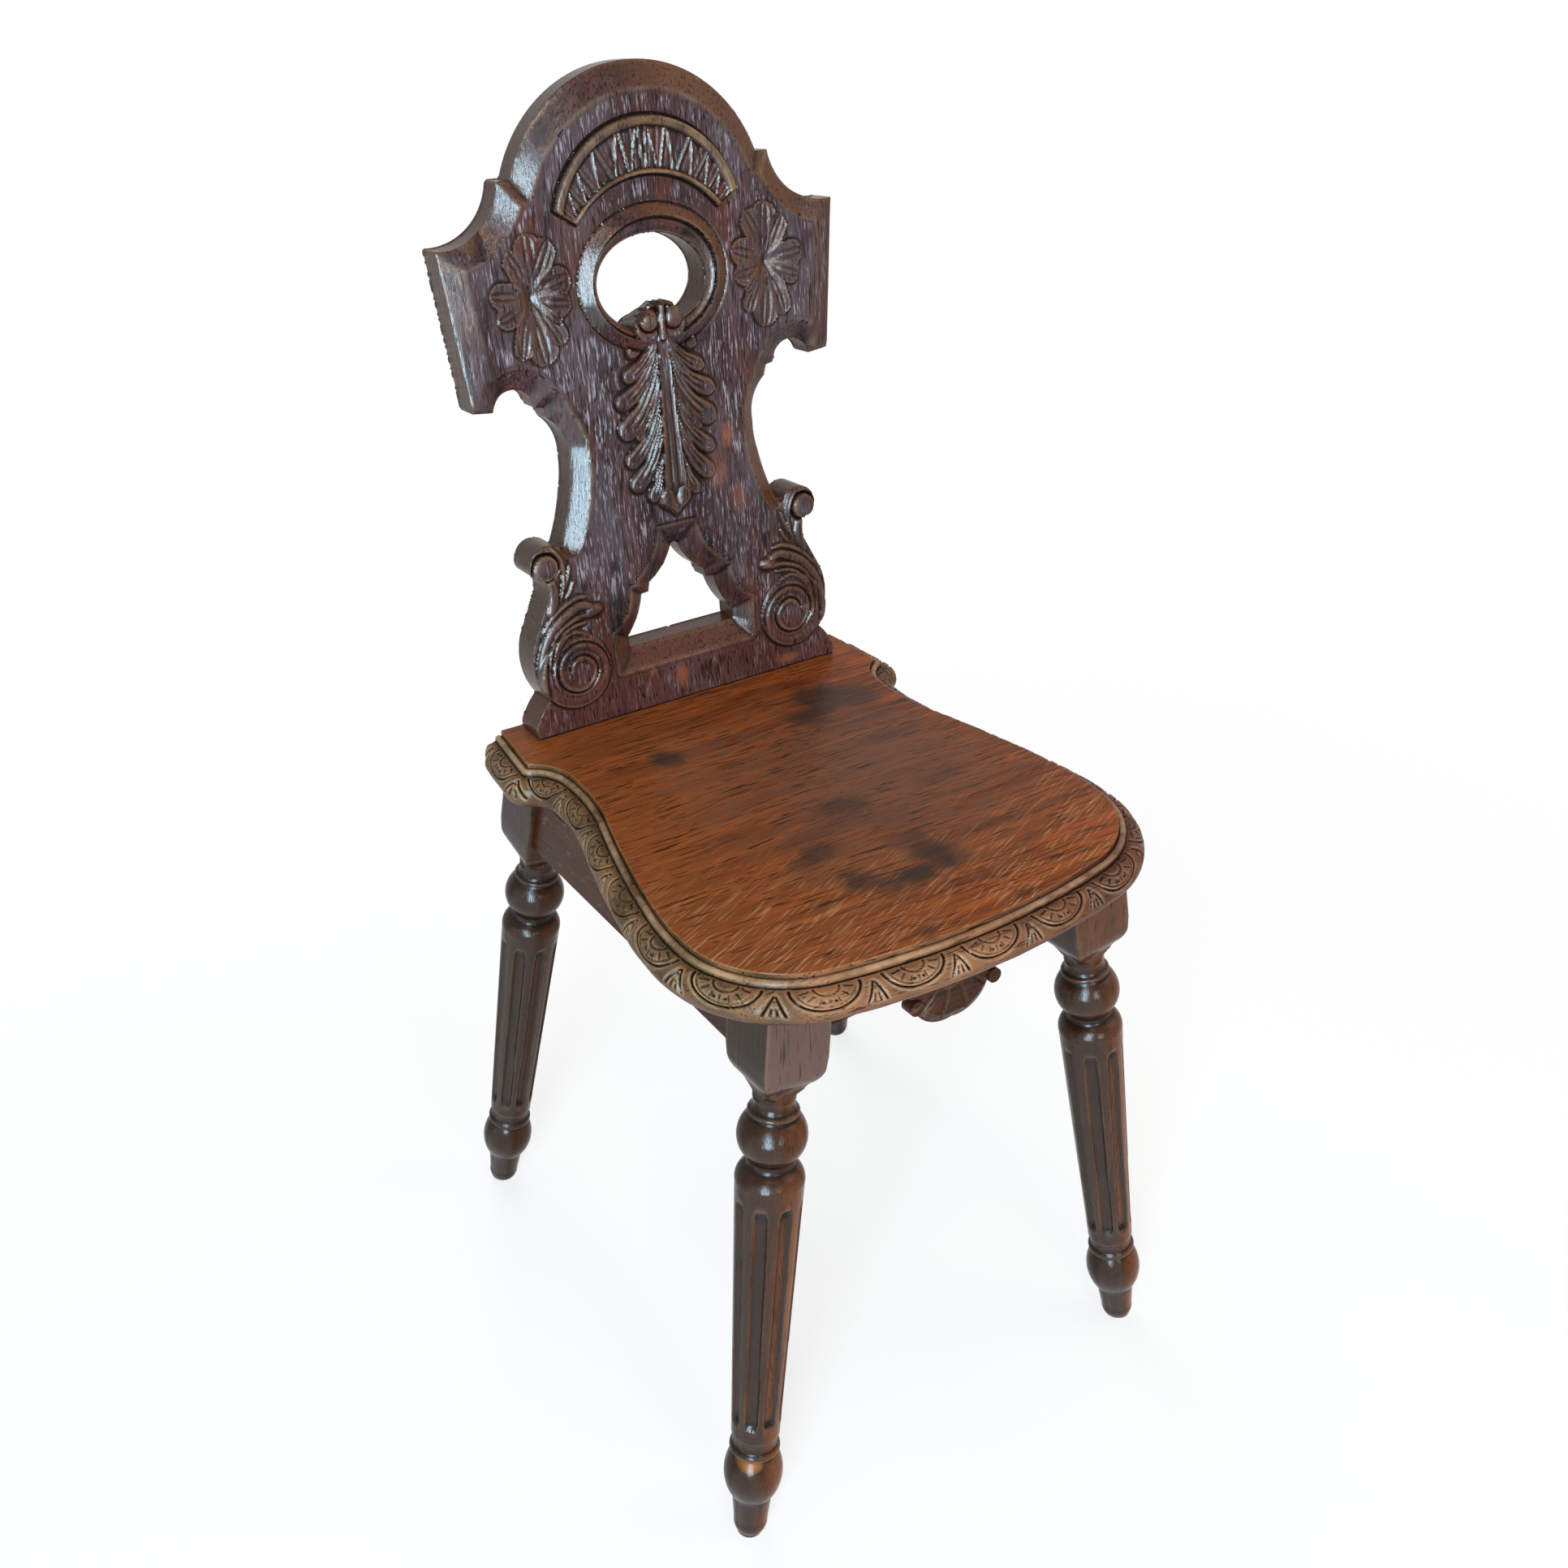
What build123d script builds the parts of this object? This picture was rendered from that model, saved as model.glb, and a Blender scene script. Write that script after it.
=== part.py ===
from build123d import *
import os
from math import cos, radians, tan

# Carved oak hall chair: a solid seat on four splayed, fluted legs, and a pierced board back.
# All sizes are millimetres. The front faces -Y, Z is up and the chair is the same on both sides.
# Plan positions are measured from the line where the face of the back meets the seat, and
# the finished pieces are moved so that the origin lies on the floor under the chair's middle.

os.makedirs("parts", exist_ok=True)

MIDDLE_TO_BACK = 139.4      # from the chair's middle to the face of the back

# Seat
SEAT_TOP = 445.0            # height of the flat of the seat above the floor
SEAT_THICK = 28.0
SEAT_FRONT = -338.5         # front of the flat, inside the moulding
SEAT_REAR = 29.0
EAR_CORNER = (145.0, -25.0)  # where the hollow of the waist meets the ear beside the back
EAR_REAR = (141.0, 29.0)
BEAD_WIDTH = 5.2            # reeded bead round the flat
BEAD_TOP = 441.0
BEAD_ROUND = 1.6
NOSING_WIDTH = 18.0         # bead and carved half-round together
NOSING_TOP = 438.0
NOSING_ROUND = 10.2
EAR_ROUND = 12.0            # rear corner of the nosing, seen from above
BOARD_JOINT = -117.0        # glue joint of the two seat boards
# Tangent arcs of the flat's edge from the middle of the front: radius, degrees turned
SEAT_ARCS = ((483.2, 11.8), (71.1, 74.1), (184.8, 12.0), (850.3, 7.2), (-188.5, 20.3), (-37.4, 54.5))

# Back board, in its own plane: x across, y up the board from the seat
BACK_TILT = 5.0             # degrees that the top leans backwards
BACK_THICK = 26.0
BEVEL_DEPTH = 8.0           # the chamfer round the outline falls this far
BASE_WIDTH = 248.0
BACK_HEIGHT = 427.4
RING_MIDDLE = (0.0, 297.0)
RING_OUTER = (54.5, 46.5)   # half width and half height of each oval
RING_RIDGE = (46.5, 39.2)
RING_HOLE = (40.5, 33.5)
RING_RISE = 3.0
RING_ROLL = 6.0             # depth at which the roll reaches the hole
FAN_RISE = 3.5
LEAF_RISE = 4.0
# Lobes of the leaf below the ring, each with its rounded shoulder and its tip, and what parts them
LEAF_LOBES = (
    ((24, 251), (32, 238)),
    ((31, 233.5), (38, 222)),
    ((32.5, 215), (40, 202)),
    ((31, 194), (36, 180)),
    ((28, 177), (33, 165)),
    ((20.5, 160.5), (20, 151)),
)
LEAF_VALLEYS = ((19, 241), (20, 224), (20, 205), (18, 185), (16, 169), (11, 156))
CLASP_RISE = 6.0
ROSETTE_MIDDLE = (86.0, 296.0)
ROSETTE_RISE = 2.5
ROSETTE_PETAL = (12.0, 6.0)  # half length and half width
ROSETTE_REACH = 14.0        # from the middle to a petal's middle
ROSETTE_TURNS = (0, 62, 98, 180, 258, 295)
ROSETTE_EYE = 5.0
VOLUTE_MIDDLE = (88.0, 44.0)
VOLUTE_GROOVES = (21.0, 13.5)  # radius of the outer and inner groove
VOLUTE_GROOVE = 2.0         # width and depth
BUTTON_MIDDLE = (103.5, 124.0)
BUTTON_RADIUS = 9.0
BUTTON_RISE = 2.0

# Tenons of the back board, with their wedges
BACK_TENON_X = 64.0
BACK_TENON_WIDTH = 50.0
BACK_TENON_THICK = 14.0
BACK_TENON_INSET = 6.0
WEDGE_WIDE = 4.0
WEDGE_NARROW = 1.0
WEDGE_LENGTH = 20.0

# Legs: where the centre line meets the seat's underside and the floor
FRONT_LEG = ((112.4, -296.0), (168.0, -333.0))
REAR_LEG = ((123.6, -5.0), (173.8, 67.0))
BLOCK = 45.0                # side of the square block that takes the rails
NECK = 26.0                 # side of the square under the block's sawn curve
BLOCK_CURVE = (349.0, 381.0)  # heights on the leg of that curve's two ends
SHAFT_FOOT = (16.2, 86.0)   # radius and height of the fluted taper's ends
SHAFT_HEAD = (21.75, 283.0)
FLUTES = 8
FLUTE_RADIUS = 4.8
FLUTE_DEPTH = 2.7
FLUTE_ENDS = (96.0, 250.0)

# Rails under the seat
RAIL_THICK = 20.0
SIDE_RECESS = 4.0           # from the outer face of the leg blocks
FRONT_RECESS = 12.0
RAIL_DEPTH = 43.0
FRONT_RAIL_DEPTH = 32.0
TENON_THICK = 8.0
TENON_LENGTH = 16.0
TENON_SHOULDER = 6.0

# Corner blocks and fixings
CORNER_REACH = 75.0         # along each rail, from the middle of the leg
CORNER_BACK = 8.0           # the blank's square corner lies this far past the leg's middle
CORNER_DEPTH = 28.0
SCREW_SHANK = 2.2           # radius
SCREW_HEAD = 4.4
SCREW_SINK = 2.6
SEAT_SCREW_PLACE = 31.0     # both ways from the middle of the leg
SEAT_SCREW_LENGTH = 42.0
BLOCK_SCREW_PLACE = 48.0    # along the rail from the middle of the leg
BLOCK_SCREW_HEAD = 11.0     # from the middle of the leg, across the rail
BLOCK_SCREW_LENGTH = 26.0
POCKET_RADIUS = 5.0
POCKET_LENGTH = 30.0
DOWEL_RADIUS = 4.0
DOWEL_LENGTH = 50.0
DOWEL_SPACING = 90.0

# Carved shell on the front rail, below the seat
SHELL_TOP = 405.0           # heights above the floor
SHELL_FOOT = 358.5
SHELL_HALF = 32.0
SHELL_THICK = 8.0
SHELL_DRAW = 0.86           # the shell's face is this much smaller than its back
SHELL_FLUTES = 6
SHELL_FLUTE = 2.6
SHELL_SCROLL = 5.0          # radius of the small scroll at each end
SHELL_SCROLL_HEIGHT = 379.0

UNDERSIDE = SEAT_TOP - SEAT_THICK
BACK_PLANE = Plane(
    origin=(0, 0, SEAT_TOP),
    x_dir=(1, 0, 0),
    z_dir=Vector(0, -1, 0).rotate(Axis.X, -BACK_TILT),
)


def save(pieces, name):
    """Write a sub-part of one solid, or of a few like solids."""
    solids = [Pos(0, MIDDLE_TO_BACK, 0) * solid for solid in pieces.solids()]
    whole = solids[0] if len(solids) == 1 else Compound(children=solids)
    whole.label = name
    export_step(whole, f"parts/{name}.step")


def curves_through(start, moves):
    """Lines and arcs that follow each other. A move is an end, or a middle and an end."""
    curves = []
    for move in moves:
        points = move if isinstance(move[0], tuple) else (move,)
        curve = ThreePointArc(start, *points) if len(points) == 2 else Line(start, points[0])
        curves.append(curve)
        start = points[-1]
    return curves


def mirrored_face(curves):
    """The face inside a right-hand outline and its mirror image."""
    both = curves + [mirror(curve, Plane.YZ) for curve in curves]
    return make_face([edge for curve in both for edge in curve.edges()])


def leaned(corners, other_corners):
    """A straight-edged solid between two four-cornered ends."""
    ends = [make_face(Polyline(*ring, close=True)) for ring in (corners, other_corners)]
    return loft(ends, ruled=True)


# Seat

def seat_outline(beyond):
    """Right half of the seat's plan, this far outside the edge of the flat."""
    curves = []
    place = Vector(0, SEAT_FRONT - beyond)
    heading = Vector(1, 0)
    for radius, turn in SEAT_ARCS:
        bend = turn if radius > 0 else -turn
        arc = JernArc(place, heading, abs(radius + beyond), bend)
        curves.append(arc)
        place = arc @ 1
        heading = arc % 1
    ear = (Vector(*EAR_REAR) - Vector(*EAR_CORNER)).normalized()
    if beyond > 0:
        round_corner = JernArc(place, heading, beyond, heading.get_angle(ear))
        curves.append(round_corner)
        place = round_corner @ 1
    rear = place + ear * ((SEAT_REAR - place.Y) / ear.Y)
    return curves + [Line(place, rear), Line(rear, (0, SEAT_REAR))]


def seat_layer(beyond, bottom, top):
    """One thickness of the seat, with the outline grown outwards."""
    return extrude(Pos(0, 0, bottom) * mirrored_face(seat_outline(beyond)), top - bottom)


def rounded_rim(layer, radius, height):
    """The layer with its edge at this height rounded, but not along the rear."""
    edges = [
        edge
        for edge in layer.edges()
        if abs(edge.center().Z - height) < 0.01 and abs(edge.center().Y - SEAT_REAR) > 0.01
    ]
    return fillet(edges, radius)


def ear_trims():
    """What the rounding of the nosing's two rear corners takes off."""
    side = seat_outline(NOSING_WIDTH)[-2]
    corner = side @ 1
    heading = side % 1
    inward = Vector(-1, 0)
    back_off = EAR_ROUND * tan(radians(heading.get_angle(inward) / 2))
    start = corner - heading * back_off
    end = corner + inward * back_off
    outside = corner + (heading - inward) * 3
    round_corner = JernArc(start, heading, EAR_ROUND, heading.get_angle(inward))
    edges = [round_corner.edge()]
    edges += Polyline(end, end + heading * 3, outside, start - inward * 3, start).edges()
    trim = extrude(Pos(0, 0, UNDERSIDE) * make_face(edges), SEAT_THICK)
    return trim + mirror(trim, Plane.YZ)


def whole_seat():
    nosing = seat_layer(NOSING_WIDTH, UNDERSIDE, NOSING_TOP)
    nosing = rounded_rim(nosing, NOSING_ROUND, NOSING_TOP)
    nosing = rounded_rim(nosing, NOSING_ROUND, UNDERSIDE)
    bead = seat_layer(BEAD_WIDTH, UNDERSIDE + 1, BEAD_TOP)
    bead = rounded_rim(bead, BEAD_ROUND, BEAD_TOP)
    flat = seat_layer(0, UNDERSIDE + 2, SEAT_TOP)
    return nosing - ear_trims() + bead + flat


def dowels():
    """Three dowels across the joint of the seat boards."""
    height = UNDERSIDE + SEAT_THICK / 2
    lying = Rot(90, 0, 0) * Cylinder(DOWEL_RADIUS, DOWEL_LENGTH)
    places = [Pos(step * DOWEL_SPACING, BOARD_JOINT, height) for step in (-1, 0, 1)]
    return Part() + [place * lying for place in places]


# Legs

def leg_axis(leg, side):
    """Plane at the leg's foot, whose normal runs up the leg. Side is 1 at the right."""
    top = Vector(side * leg[0][0], leg[0][1], UNDERSIDE)
    foot = Vector(side * leg[1][0], leg[1][1], 0)
    axis = (top - foot).normalized()
    across = Vector(1, 0, 0) - axis * axis.X
    return Plane(origin=foot, x_dir=across, z_dir=axis)


def leg_block():
    """Square block whose four faces are sawn in to the neck with an ogee curve."""
    low, high = BLOCK_CURVE
    neck = NECK / 2
    wide = BLOCK / 2
    over = UNDERSIDE * 1.05
    profile = curves_through((0, low - 4), [
        (neck, low - 4),
        (neck, low),
        ((neck - 0.4, low + 8), (neck + 2.8, low + 11.5)),
        ((neck + 6.5, low + 17), (wide - 0.8, low + 24)),
        (wide, high),
        (wide, over),
        (0, over),
    ])
    sawn = extrude(Plane.XZ * mirrored_face(profile), BLOCK, both=True)
    return sawn & (Rot(0, 0, 90) * sawn)


def turning():
    """Turned part of the leg, from the foot to the neck under the block."""
    profile = curves_through((0, -5), [
        (9, -5),
        (9, 0),
        ((10.9, 4), (11.5, 10)),
        (13.5, 32),
        ((19.2, 54), (14.8, 70)),
        ((17, 73.5), (15.2, 77)),
        ((14.9, 81), SHAFT_FOOT),
        SHAFT_HEAD,
        ((20.3, 290), (15.6, 294)),
        ((15.2, 298), (15.6, 301.8)),
        ((21.7, 317), (15.6, 332.2)),
        (15.6, 334),
        ((16.3, 335.8), (15.6, 337.6)),
        (14, 338),
        (14, 351),
        (0, 351),
        (0, -5),
    ])
    face = make_face([edge for curve in profile for edge in curve.edges()])
    return revolve(Plane.XZ * face, Axis.Z)


def flute_cutters():
    """Round-ended cutters that lie along the taper of the shaft."""
    (foot_radius, foot_height), (head_radius, head_height) = SHAFT_FOOT, SHAFT_HEAD
    slope = (head_radius - foot_radius) / (head_height - foot_height)
    ends = []
    for height in FLUTE_ENDS:
        surface = foot_radius + slope * (height - foot_height)
        ends.append(Vector(surface + FLUTE_RADIUS - FLUTE_DEPTH, 0, height))
    run = ends[1] - ends[0]
    bar = extrude(Plane(origin=ends[0], z_dir=run) * Circle(FLUTE_RADIUS), run.length)
    cutter = bar + Pos(*ends[0]) * Sphere(FLUTE_RADIUS) + Pos(*ends[1]) * Sphere(FLUTE_RADIUS)
    return [Rot(0, 0, step * 360 / FLUTES) * cutter for step in range(FLUTES)]


def whole_legs():
    """The four like legs, cut off level at the floor and under the seat."""
    upright = turning() - flute_cutters() + leg_block()
    reach = 4 * BLOCK
    legs = {}
    for row, leg in (("front", FRONT_LEG), ("rear", REAR_LEG)):
        for side, hand in ((-1, "left"), (1, "right")):
            leaning = leg_axis(leg, side) * upright
            foot = Pos(side * leg[1][0], leg[1][1], UNDERSIDE / 2)
            legs[f"{row}_{hand}"] = leaning & (foot * Box(reach, reach, UNDERSIDE))
    return legs


# Rails

def on_leg(leg, side, height):
    """Middle of a leg at a height above the floor."""
    share = height / UNDERSIDE
    x = leg[1][0] + (leg[0][0] - leg[1][0]) * share
    y = leg[1][1] + (leg[0][1] - leg[1][1]) * share
    return Vector(side * x, y, height)


def bar_between(first, second, outward, near, far, low, high, inside=0.0):
    """Bar from leg to leg. Near and far are its faces, outwards from the legs' middles."""
    ends = []
    for here, there in ((first, second), (second, first)):
        run = on_leg(*there, low) - on_leg(*here, low)
        along = Vector(run.X, run.Y, 0).normalized()
        corners = []
        for height, reach in ((low, near), (low, far), (high, far), (high, near)):
            corners.append(on_leg(*here, height) + outward * reach + along * inside)
        ends.append(corners)
    return leaned(*ends)


def rail(first, second, outward, recess, depth, legs):
    """Rail between two leg blocks, and the long bar whose ends are its tenons."""
    far = BLOCK / 2 - recess
    near = far - RAIL_THICK
    low = UNDERSIDE - depth
    middle = (near + far) / 2
    plain = bar_between(first, second, outward, near, far, low, UNDERSIDE)
    tenons = bar_between(
        first, second, outward,
        middle - TENON_THICK / 2, middle + TENON_THICK / 2,
        low + TENON_SHOULDER, UNDERSIDE - TENON_SHOULDER,
        inside=BLOCK / 2 - TENON_LENGTH,
    )
    between = (plain - legs).solids().sort_by(SortBy.VOLUME)[-1]
    return between + tenons, tenons


def all_rails(legs):
    """The four rails, and the tenon bars that cut the legs' mortises."""
    blocks = list(legs.values())
    front = [(FRONT_LEG, -1), (FRONT_LEG, 1)]
    rear = [(REAR_LEG, -1), (REAR_LEG, 1)]
    plans = {
        "front_rail": (*front, Vector(0, -1), FRONT_RECESS, FRONT_RAIL_DEPTH),
        "rear_rail": (*rear, Vector(0, 1), SIDE_RECESS, RAIL_DEPTH),
        "left_rail": (front[0], rear[0], Vector(-1, 0), SIDE_RECESS, RAIL_DEPTH),
    }
    rails = {}
    bars = []
    for name, plan in plans.items():
        rails[name], bar = rail(*plan, blocks)
        bars.append(bar)
    bars.append(mirror(bars[-1], Plane.YZ))
    return rails, bars


# Corner blocks and their screws

def corner_directions(row, side):
    """From a leg towards the chair's middle, along X and along Y."""
    return Vector(-side, 0), Vector(0, 1 if row == "front" else -1)


def screw(length):
    """Countersunk screw that hangs down from its head, with the shank upwards."""
    shank = Pos(0, 0, length / 2) * Cylinder(SCREW_SHANK, length)
    return shank + Pos(0, 0, SCREW_SINK / 2) * Cone(SCREW_HEAD, SCREW_SHANK, SCREW_SINK)


def corner_block(leg, row, side, others):
    """Three-cornered block behind the joint of two rails."""
    inward, along = corner_directions(row, side)
    middle = on_leg(leg, side, UNDERSIDE - CORNER_DEPTH / 2)
    start = Vector(middle.X, middle.Y, UNDERSIDE - CORNER_DEPTH) - (inward + along) * CORNER_BACK
    reach = CORNER_REACH + CORNER_BACK
    plan = make_face(Polyline(start, start + inward * reach, start + along * reach, close=True))
    blank = extrude(plan, CORNER_DEPTH, dir=(0, 0, 1))
    return (blank - others).solids().sort_by(SortBy.VOLUME)[-1]


def corner_screws(leg, row, side):
    """One screw up into the seat, two into the rails, and the two pockets for their heads."""
    inward, along = corner_directions(row, side)
    middle = on_leg(leg, side, UNDERSIDE - CORNER_DEPTH / 2)
    under = middle + (inward + along) * SEAT_SCREW_PLACE - Vector(0, 0, CORNER_DEPTH / 2)
    seat_screw = Pos(*under) * screw(SEAT_SCREW_LENGTH)
    rail_screws = []
    pockets = []
    for across, run in ((inward, along), (along, inward)):
        head = middle + run * BLOCK_SCREW_PLACE + across * BLOCK_SCREW_HEAD
        place = Plane(origin=head, z_dir=-across)
        rail_screws.append(place * screw(BLOCK_SCREW_LENGTH))
        pockets.append(place * Pos(0, 0, -POCKET_LENGTH / 2) * Cylinder(POCKET_RADIUS, POCKET_LENGTH))
    return seat_screw, rail_screws, pockets


# Carved shell

def front_shell():
    """Half-round shell with flutes and two small scrolls, flat on the front rail."""
    drop = SHELL_TOP - SHELL_FOOT
    scroll_drop = SHELL_TOP - SHELL_SCROLL_HEIGHT
    outline = curves_through((0, -drop), [
        ((SHELL_HALF * 0.66, 5.5 - drop), (SHELL_HALF - 3, -3 - scroll_drop)),
        (SHELL_HALF, 4 - scroll_drop),
        (SHELL_HALF - 2, 0),
        (0, 0),
    ])
    face = mirrored_face(outline)
    foot = extrude(face, SHELL_THICK / 2)
    rounded = loft([Pos(0, 0, SHELL_THICK / 2) * face, Pos(0, 0, SHELL_THICK) * scale(face, SHELL_DRAW)])
    body = foot + rounded
    for step in range(SHELL_FLUTES):
        turn = 180 + (step + 0.5) * 180 / SHELL_FLUTES
        flute = Rot(0, 90, 0) * Cylinder(SHELL_FLUTE, drop)
        place = Pos(0, -SHELL_SCROLL, SHELL_THICK + 1.2) * Rot(0, 0, turn)
        body -= place * Pos(drop / 2 + 6, 0, 0) * Rot(0, 4, 0) * flute
    for side in (-1, 1):
        scroll = Cylinder(SHELL_SCROLL, SHELL_THICK + 1.5)
        body += Pos(side * (SHELL_HALF - 2), -scroll_drop, SHELL_THICK / 2 + 0.75) * scroll
    return Pos(0, SHELL_TOP, 0) * body


def shell_plane():
    """Face of the front rail, with its origin on the floor line below the seat's middle."""
    reach = Vector(0, -(BLOCK / 2 - FRONT_RECESS))
    low = on_leg(FRONT_LEG, 0, 0) + reach
    high = on_leg(FRONT_LEG, 0, UNDERSIDE) + reach
    up = (high - low).normalized()
    return Plane(origin=low, x_dir=(1, 0, 0), z_dir=Vector(1, 0, 0).cross(up))


# Back board

def back_outlines():
    """Right half of the outline at the foot of the chamfer, and of the flat face inside it."""
    start = (0, -4)
    plinth = [
        (BASE_WIDTH / 2, -4),
        (BASE_WIDTH / 2, 0),
        ((125.5, 5), (122.5, 13)),
        ((118, 20), (112.5, 26)),
        ((120.5, 50), (117.5, 71)),
        (110, 86),
        (103.5, 99),
        (102.5, 105),
        (104.5, 115),
        ((113.5, 125), (111, 134)),
        ((103, 140.5), (90, 146)),
    ]
    outer = plinth + [
        (83, 145.5),
        ((74, 170), (72, 190)),
        ((74.5, 207), (84, 219)),
        (86, 226),
        (91.5, 227),
        (94, 234),
        ((107, 241), (121, 229)),
        (135.4, 231),
        (144.3, 331),
        ((115.5, 338), (97.5, 366)),
        (88.5, 366),
        ((62, 404.5), (0, BACK_HEIGHT)),
    ]
    inner = plinth + [
        (71, 144),
        ((62.5, 168), (60, 190)),
        ((62, 205), (69, 220)),
        (72, 228),
        (76, 234),
        (80, 238),
        ((98, 254.5), (119.5, 250.5)),
        (121, 251.5),
        (128, 318),
        ((105, 328.5), (86.7, 352)),
        (80, 352),
        ((55, 390.5), (0, 411)),
    ]
    return curves_through(start, outer), curves_through(start, inner)


def opening_outlines():
    """Right half of the pierced opening at the foot of its chamfer, and at the face."""
    opening = curves_through((0, 116), [
        (2.5, 115),
        ((8, 104), (22, 91)),
        (23.6, 84),
        (29.3, 83.6),
        ((34.3, 68.6), (43, 55.7)),
        (43, 47),
        (0, 47),
    ])
    at_face = curves_through((0, 130.5), [
        (14.5, 130.5),
        ((21, 112), (34.3, 97)),
        (35, 93.6),
        (40.7, 93),
        ((44.5, 75), (57, 63)),
        (56, 31),
        (0, 31),
    ])
    return opening, at_face


def chamfered(foot, top):
    """Solid of the board's thickness inside one outline, chamfered to another at the face."""
    low = Pos(0, 0, -BEVEL_DEPTH) * mirrored_face(foot)
    slope = loft([low, mirrored_face(top)], ruled=True)
    return extrude(low, BEVEL_DEPTH - BACK_THICK, dir=(0, 0, 1)) + slope


def oval(size, height):
    return Pos(*RING_MIDDLE, height) * Ellipse(*size)


def raised_ring(board):
    """Oval collar with an inner roll, and the hole through it."""
    collar = loft([oval(RING_OUTER, -1), oval(RING_RIDGE, RING_RISE)], ruled=True)
    funnel = loft([oval(RING_HOLE, -RING_ROLL), oval(RING_RIDGE, RING_RISE - 1)], ruled=True)
    step = extrude(oval(RING_RIDGE, RING_RISE - 1), 2)
    hole = extrude(oval(RING_HOLE, -BACK_THICK), BACK_THICK)
    return board + collar - funnel - step - hole


def fan_pad():
    """Arched band that carries the fan, over the ring."""
    outer = ThreePointArc((-66, 346), (0, 396), (66, 346))
    inner = ThreePointArc((-53, 337), (0, 361), (53, 337))
    sides = [Line(outer @ 1, inner @ 1), Line(inner @ 0, outer @ 0)]
    face = make_face([outer.edge(), inner.edge()] + [side.edge() for side in sides])
    return extrude(face, FAN_RISE)


def acanthus_drop():
    """Long leaf below the ring, with six lobes each side, and the clasp over the ring."""
    moves = [(9, 258)]
    for (shoulder, tip), valley in zip(LEAF_LOBES, LEAF_VALLEYS):
        moves += [(shoulder, tip), valley]
    moves.append(((8, 145), (0, 137)))
    clasp = curves_through((0, 258), [
        (12, 258),
        ((19, 264), (17, 276)),
        ((9, 284), (0, 285.5)),
    ])
    leaf = extrude(Pos(0, 0, -1) * mirrored_face(curves_through((0, 262), moves)), LEAF_RISE + 1)
    return leaf + extrude(Pos(0, 0, -8) * mirrored_face(clasp), CLASP_RISE + 8)


def rosette():
    """Flower of six petals about an eye, on the right wing."""
    petal = Pos(ROSETTE_REACH, 0) * Ellipse(*ROSETTE_PETAL)
    flower = Circle(ROSETTE_EYE) + [Rot(0, 0, turn) * petal for turn in ROSETTE_TURNS]
    return extrude(Pos(*ROSETTE_MIDDLE, -1) * flower, ROSETTE_RISE + 1)


def scroll_grooves():
    """Ring grooves of the right-hand volute."""
    grooves = []
    for radius in VOLUTE_GROOVES:
        ring = Circle(radius + VOLUTE_GROOVE / 2) - Circle(radius - VOLUTE_GROOVE / 2)
        grooves.append(extrude(Pos(*VOLUTE_MIDDLE, -VOLUTE_GROOVE) * ring, 2 * VOLUTE_GROOVE))
    return grooves


def scroll_button():
    """Round button at the tip of the curl over the right-hand volute."""
    return Pos(*BUTTON_MIDDLE, 0) * Cylinder(BUTTON_RADIUS, 2 * BUTTON_RISE)


def back_tenons():
    """Two tenons that run down through the seat in the plane of the board."""
    reach = 2 * SEAT_THICK + 10
    middle = -BACK_TENON_INSET - BACK_TENON_THICK / 2
    tenon = Pos(BACK_TENON_X, 5 - reach / 2, middle) * Box(BACK_TENON_WIDTH, reach, BACK_TENON_THICK)
    tenons = BACK_PLANE * (tenon + mirror(tenon, Plane.YZ))
    above = Pos(0, 0, UNDERSIDE + BACK_HEIGHT / 2) * Box(BACK_HEIGHT, BACK_HEIGHT, BACK_HEIGHT)
    return tenons & above


def tenon_wedges():
    """Wedge driven up into the middle of each tenon."""
    profile = Polyline(
        (-WEDGE_WIDE / 2, 0), (WEDGE_WIDE / 2, 0),
        (WEDGE_NARROW / 2, WEDGE_LENGTH), (-WEDGE_NARROW / 2, WEDGE_LENGTH),
        close=True,
    )
    upright = extrude(Plane.XZ * make_face(profile), BACK_TENON_THICK / 2, both=True)
    depth = BACK_TENON_INSET + BACK_TENON_THICK / 2
    rear = depth * cos(radians(BACK_TILT)) - SEAT_THICK * tan(radians(BACK_TILT))
    wedges = [Pos(side * BACK_TENON_X, rear, UNDERSIDE) * upright for side in (-1, 1)]
    return Part() + wedges


def whole_back():
    outer, inner = back_outlines()
    opening, at_face = opening_outlines()
    board = chamfered(outer, inner) - chamfered(opening, at_face)
    board = raised_ring(board) + fan_pad() + acanthus_drop()
    for piece in (rosette(), scroll_button()):
        board += piece
        board += mirror(piece, Plane.YZ)
    for groove in scroll_grooves():
        board -= groove
        board -= mirror(groove, Plane.YZ)
    standing = BACK_PLANE * board
    above_seat = Pos(0, 0, SEAT_TOP + BACK_HEIGHT) * Box(BACK_HEIGHT, BACK_HEIGHT, 2 * BACK_HEIGHT)
    return (standing & above_seat) + back_tenons()


# Assembly

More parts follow.
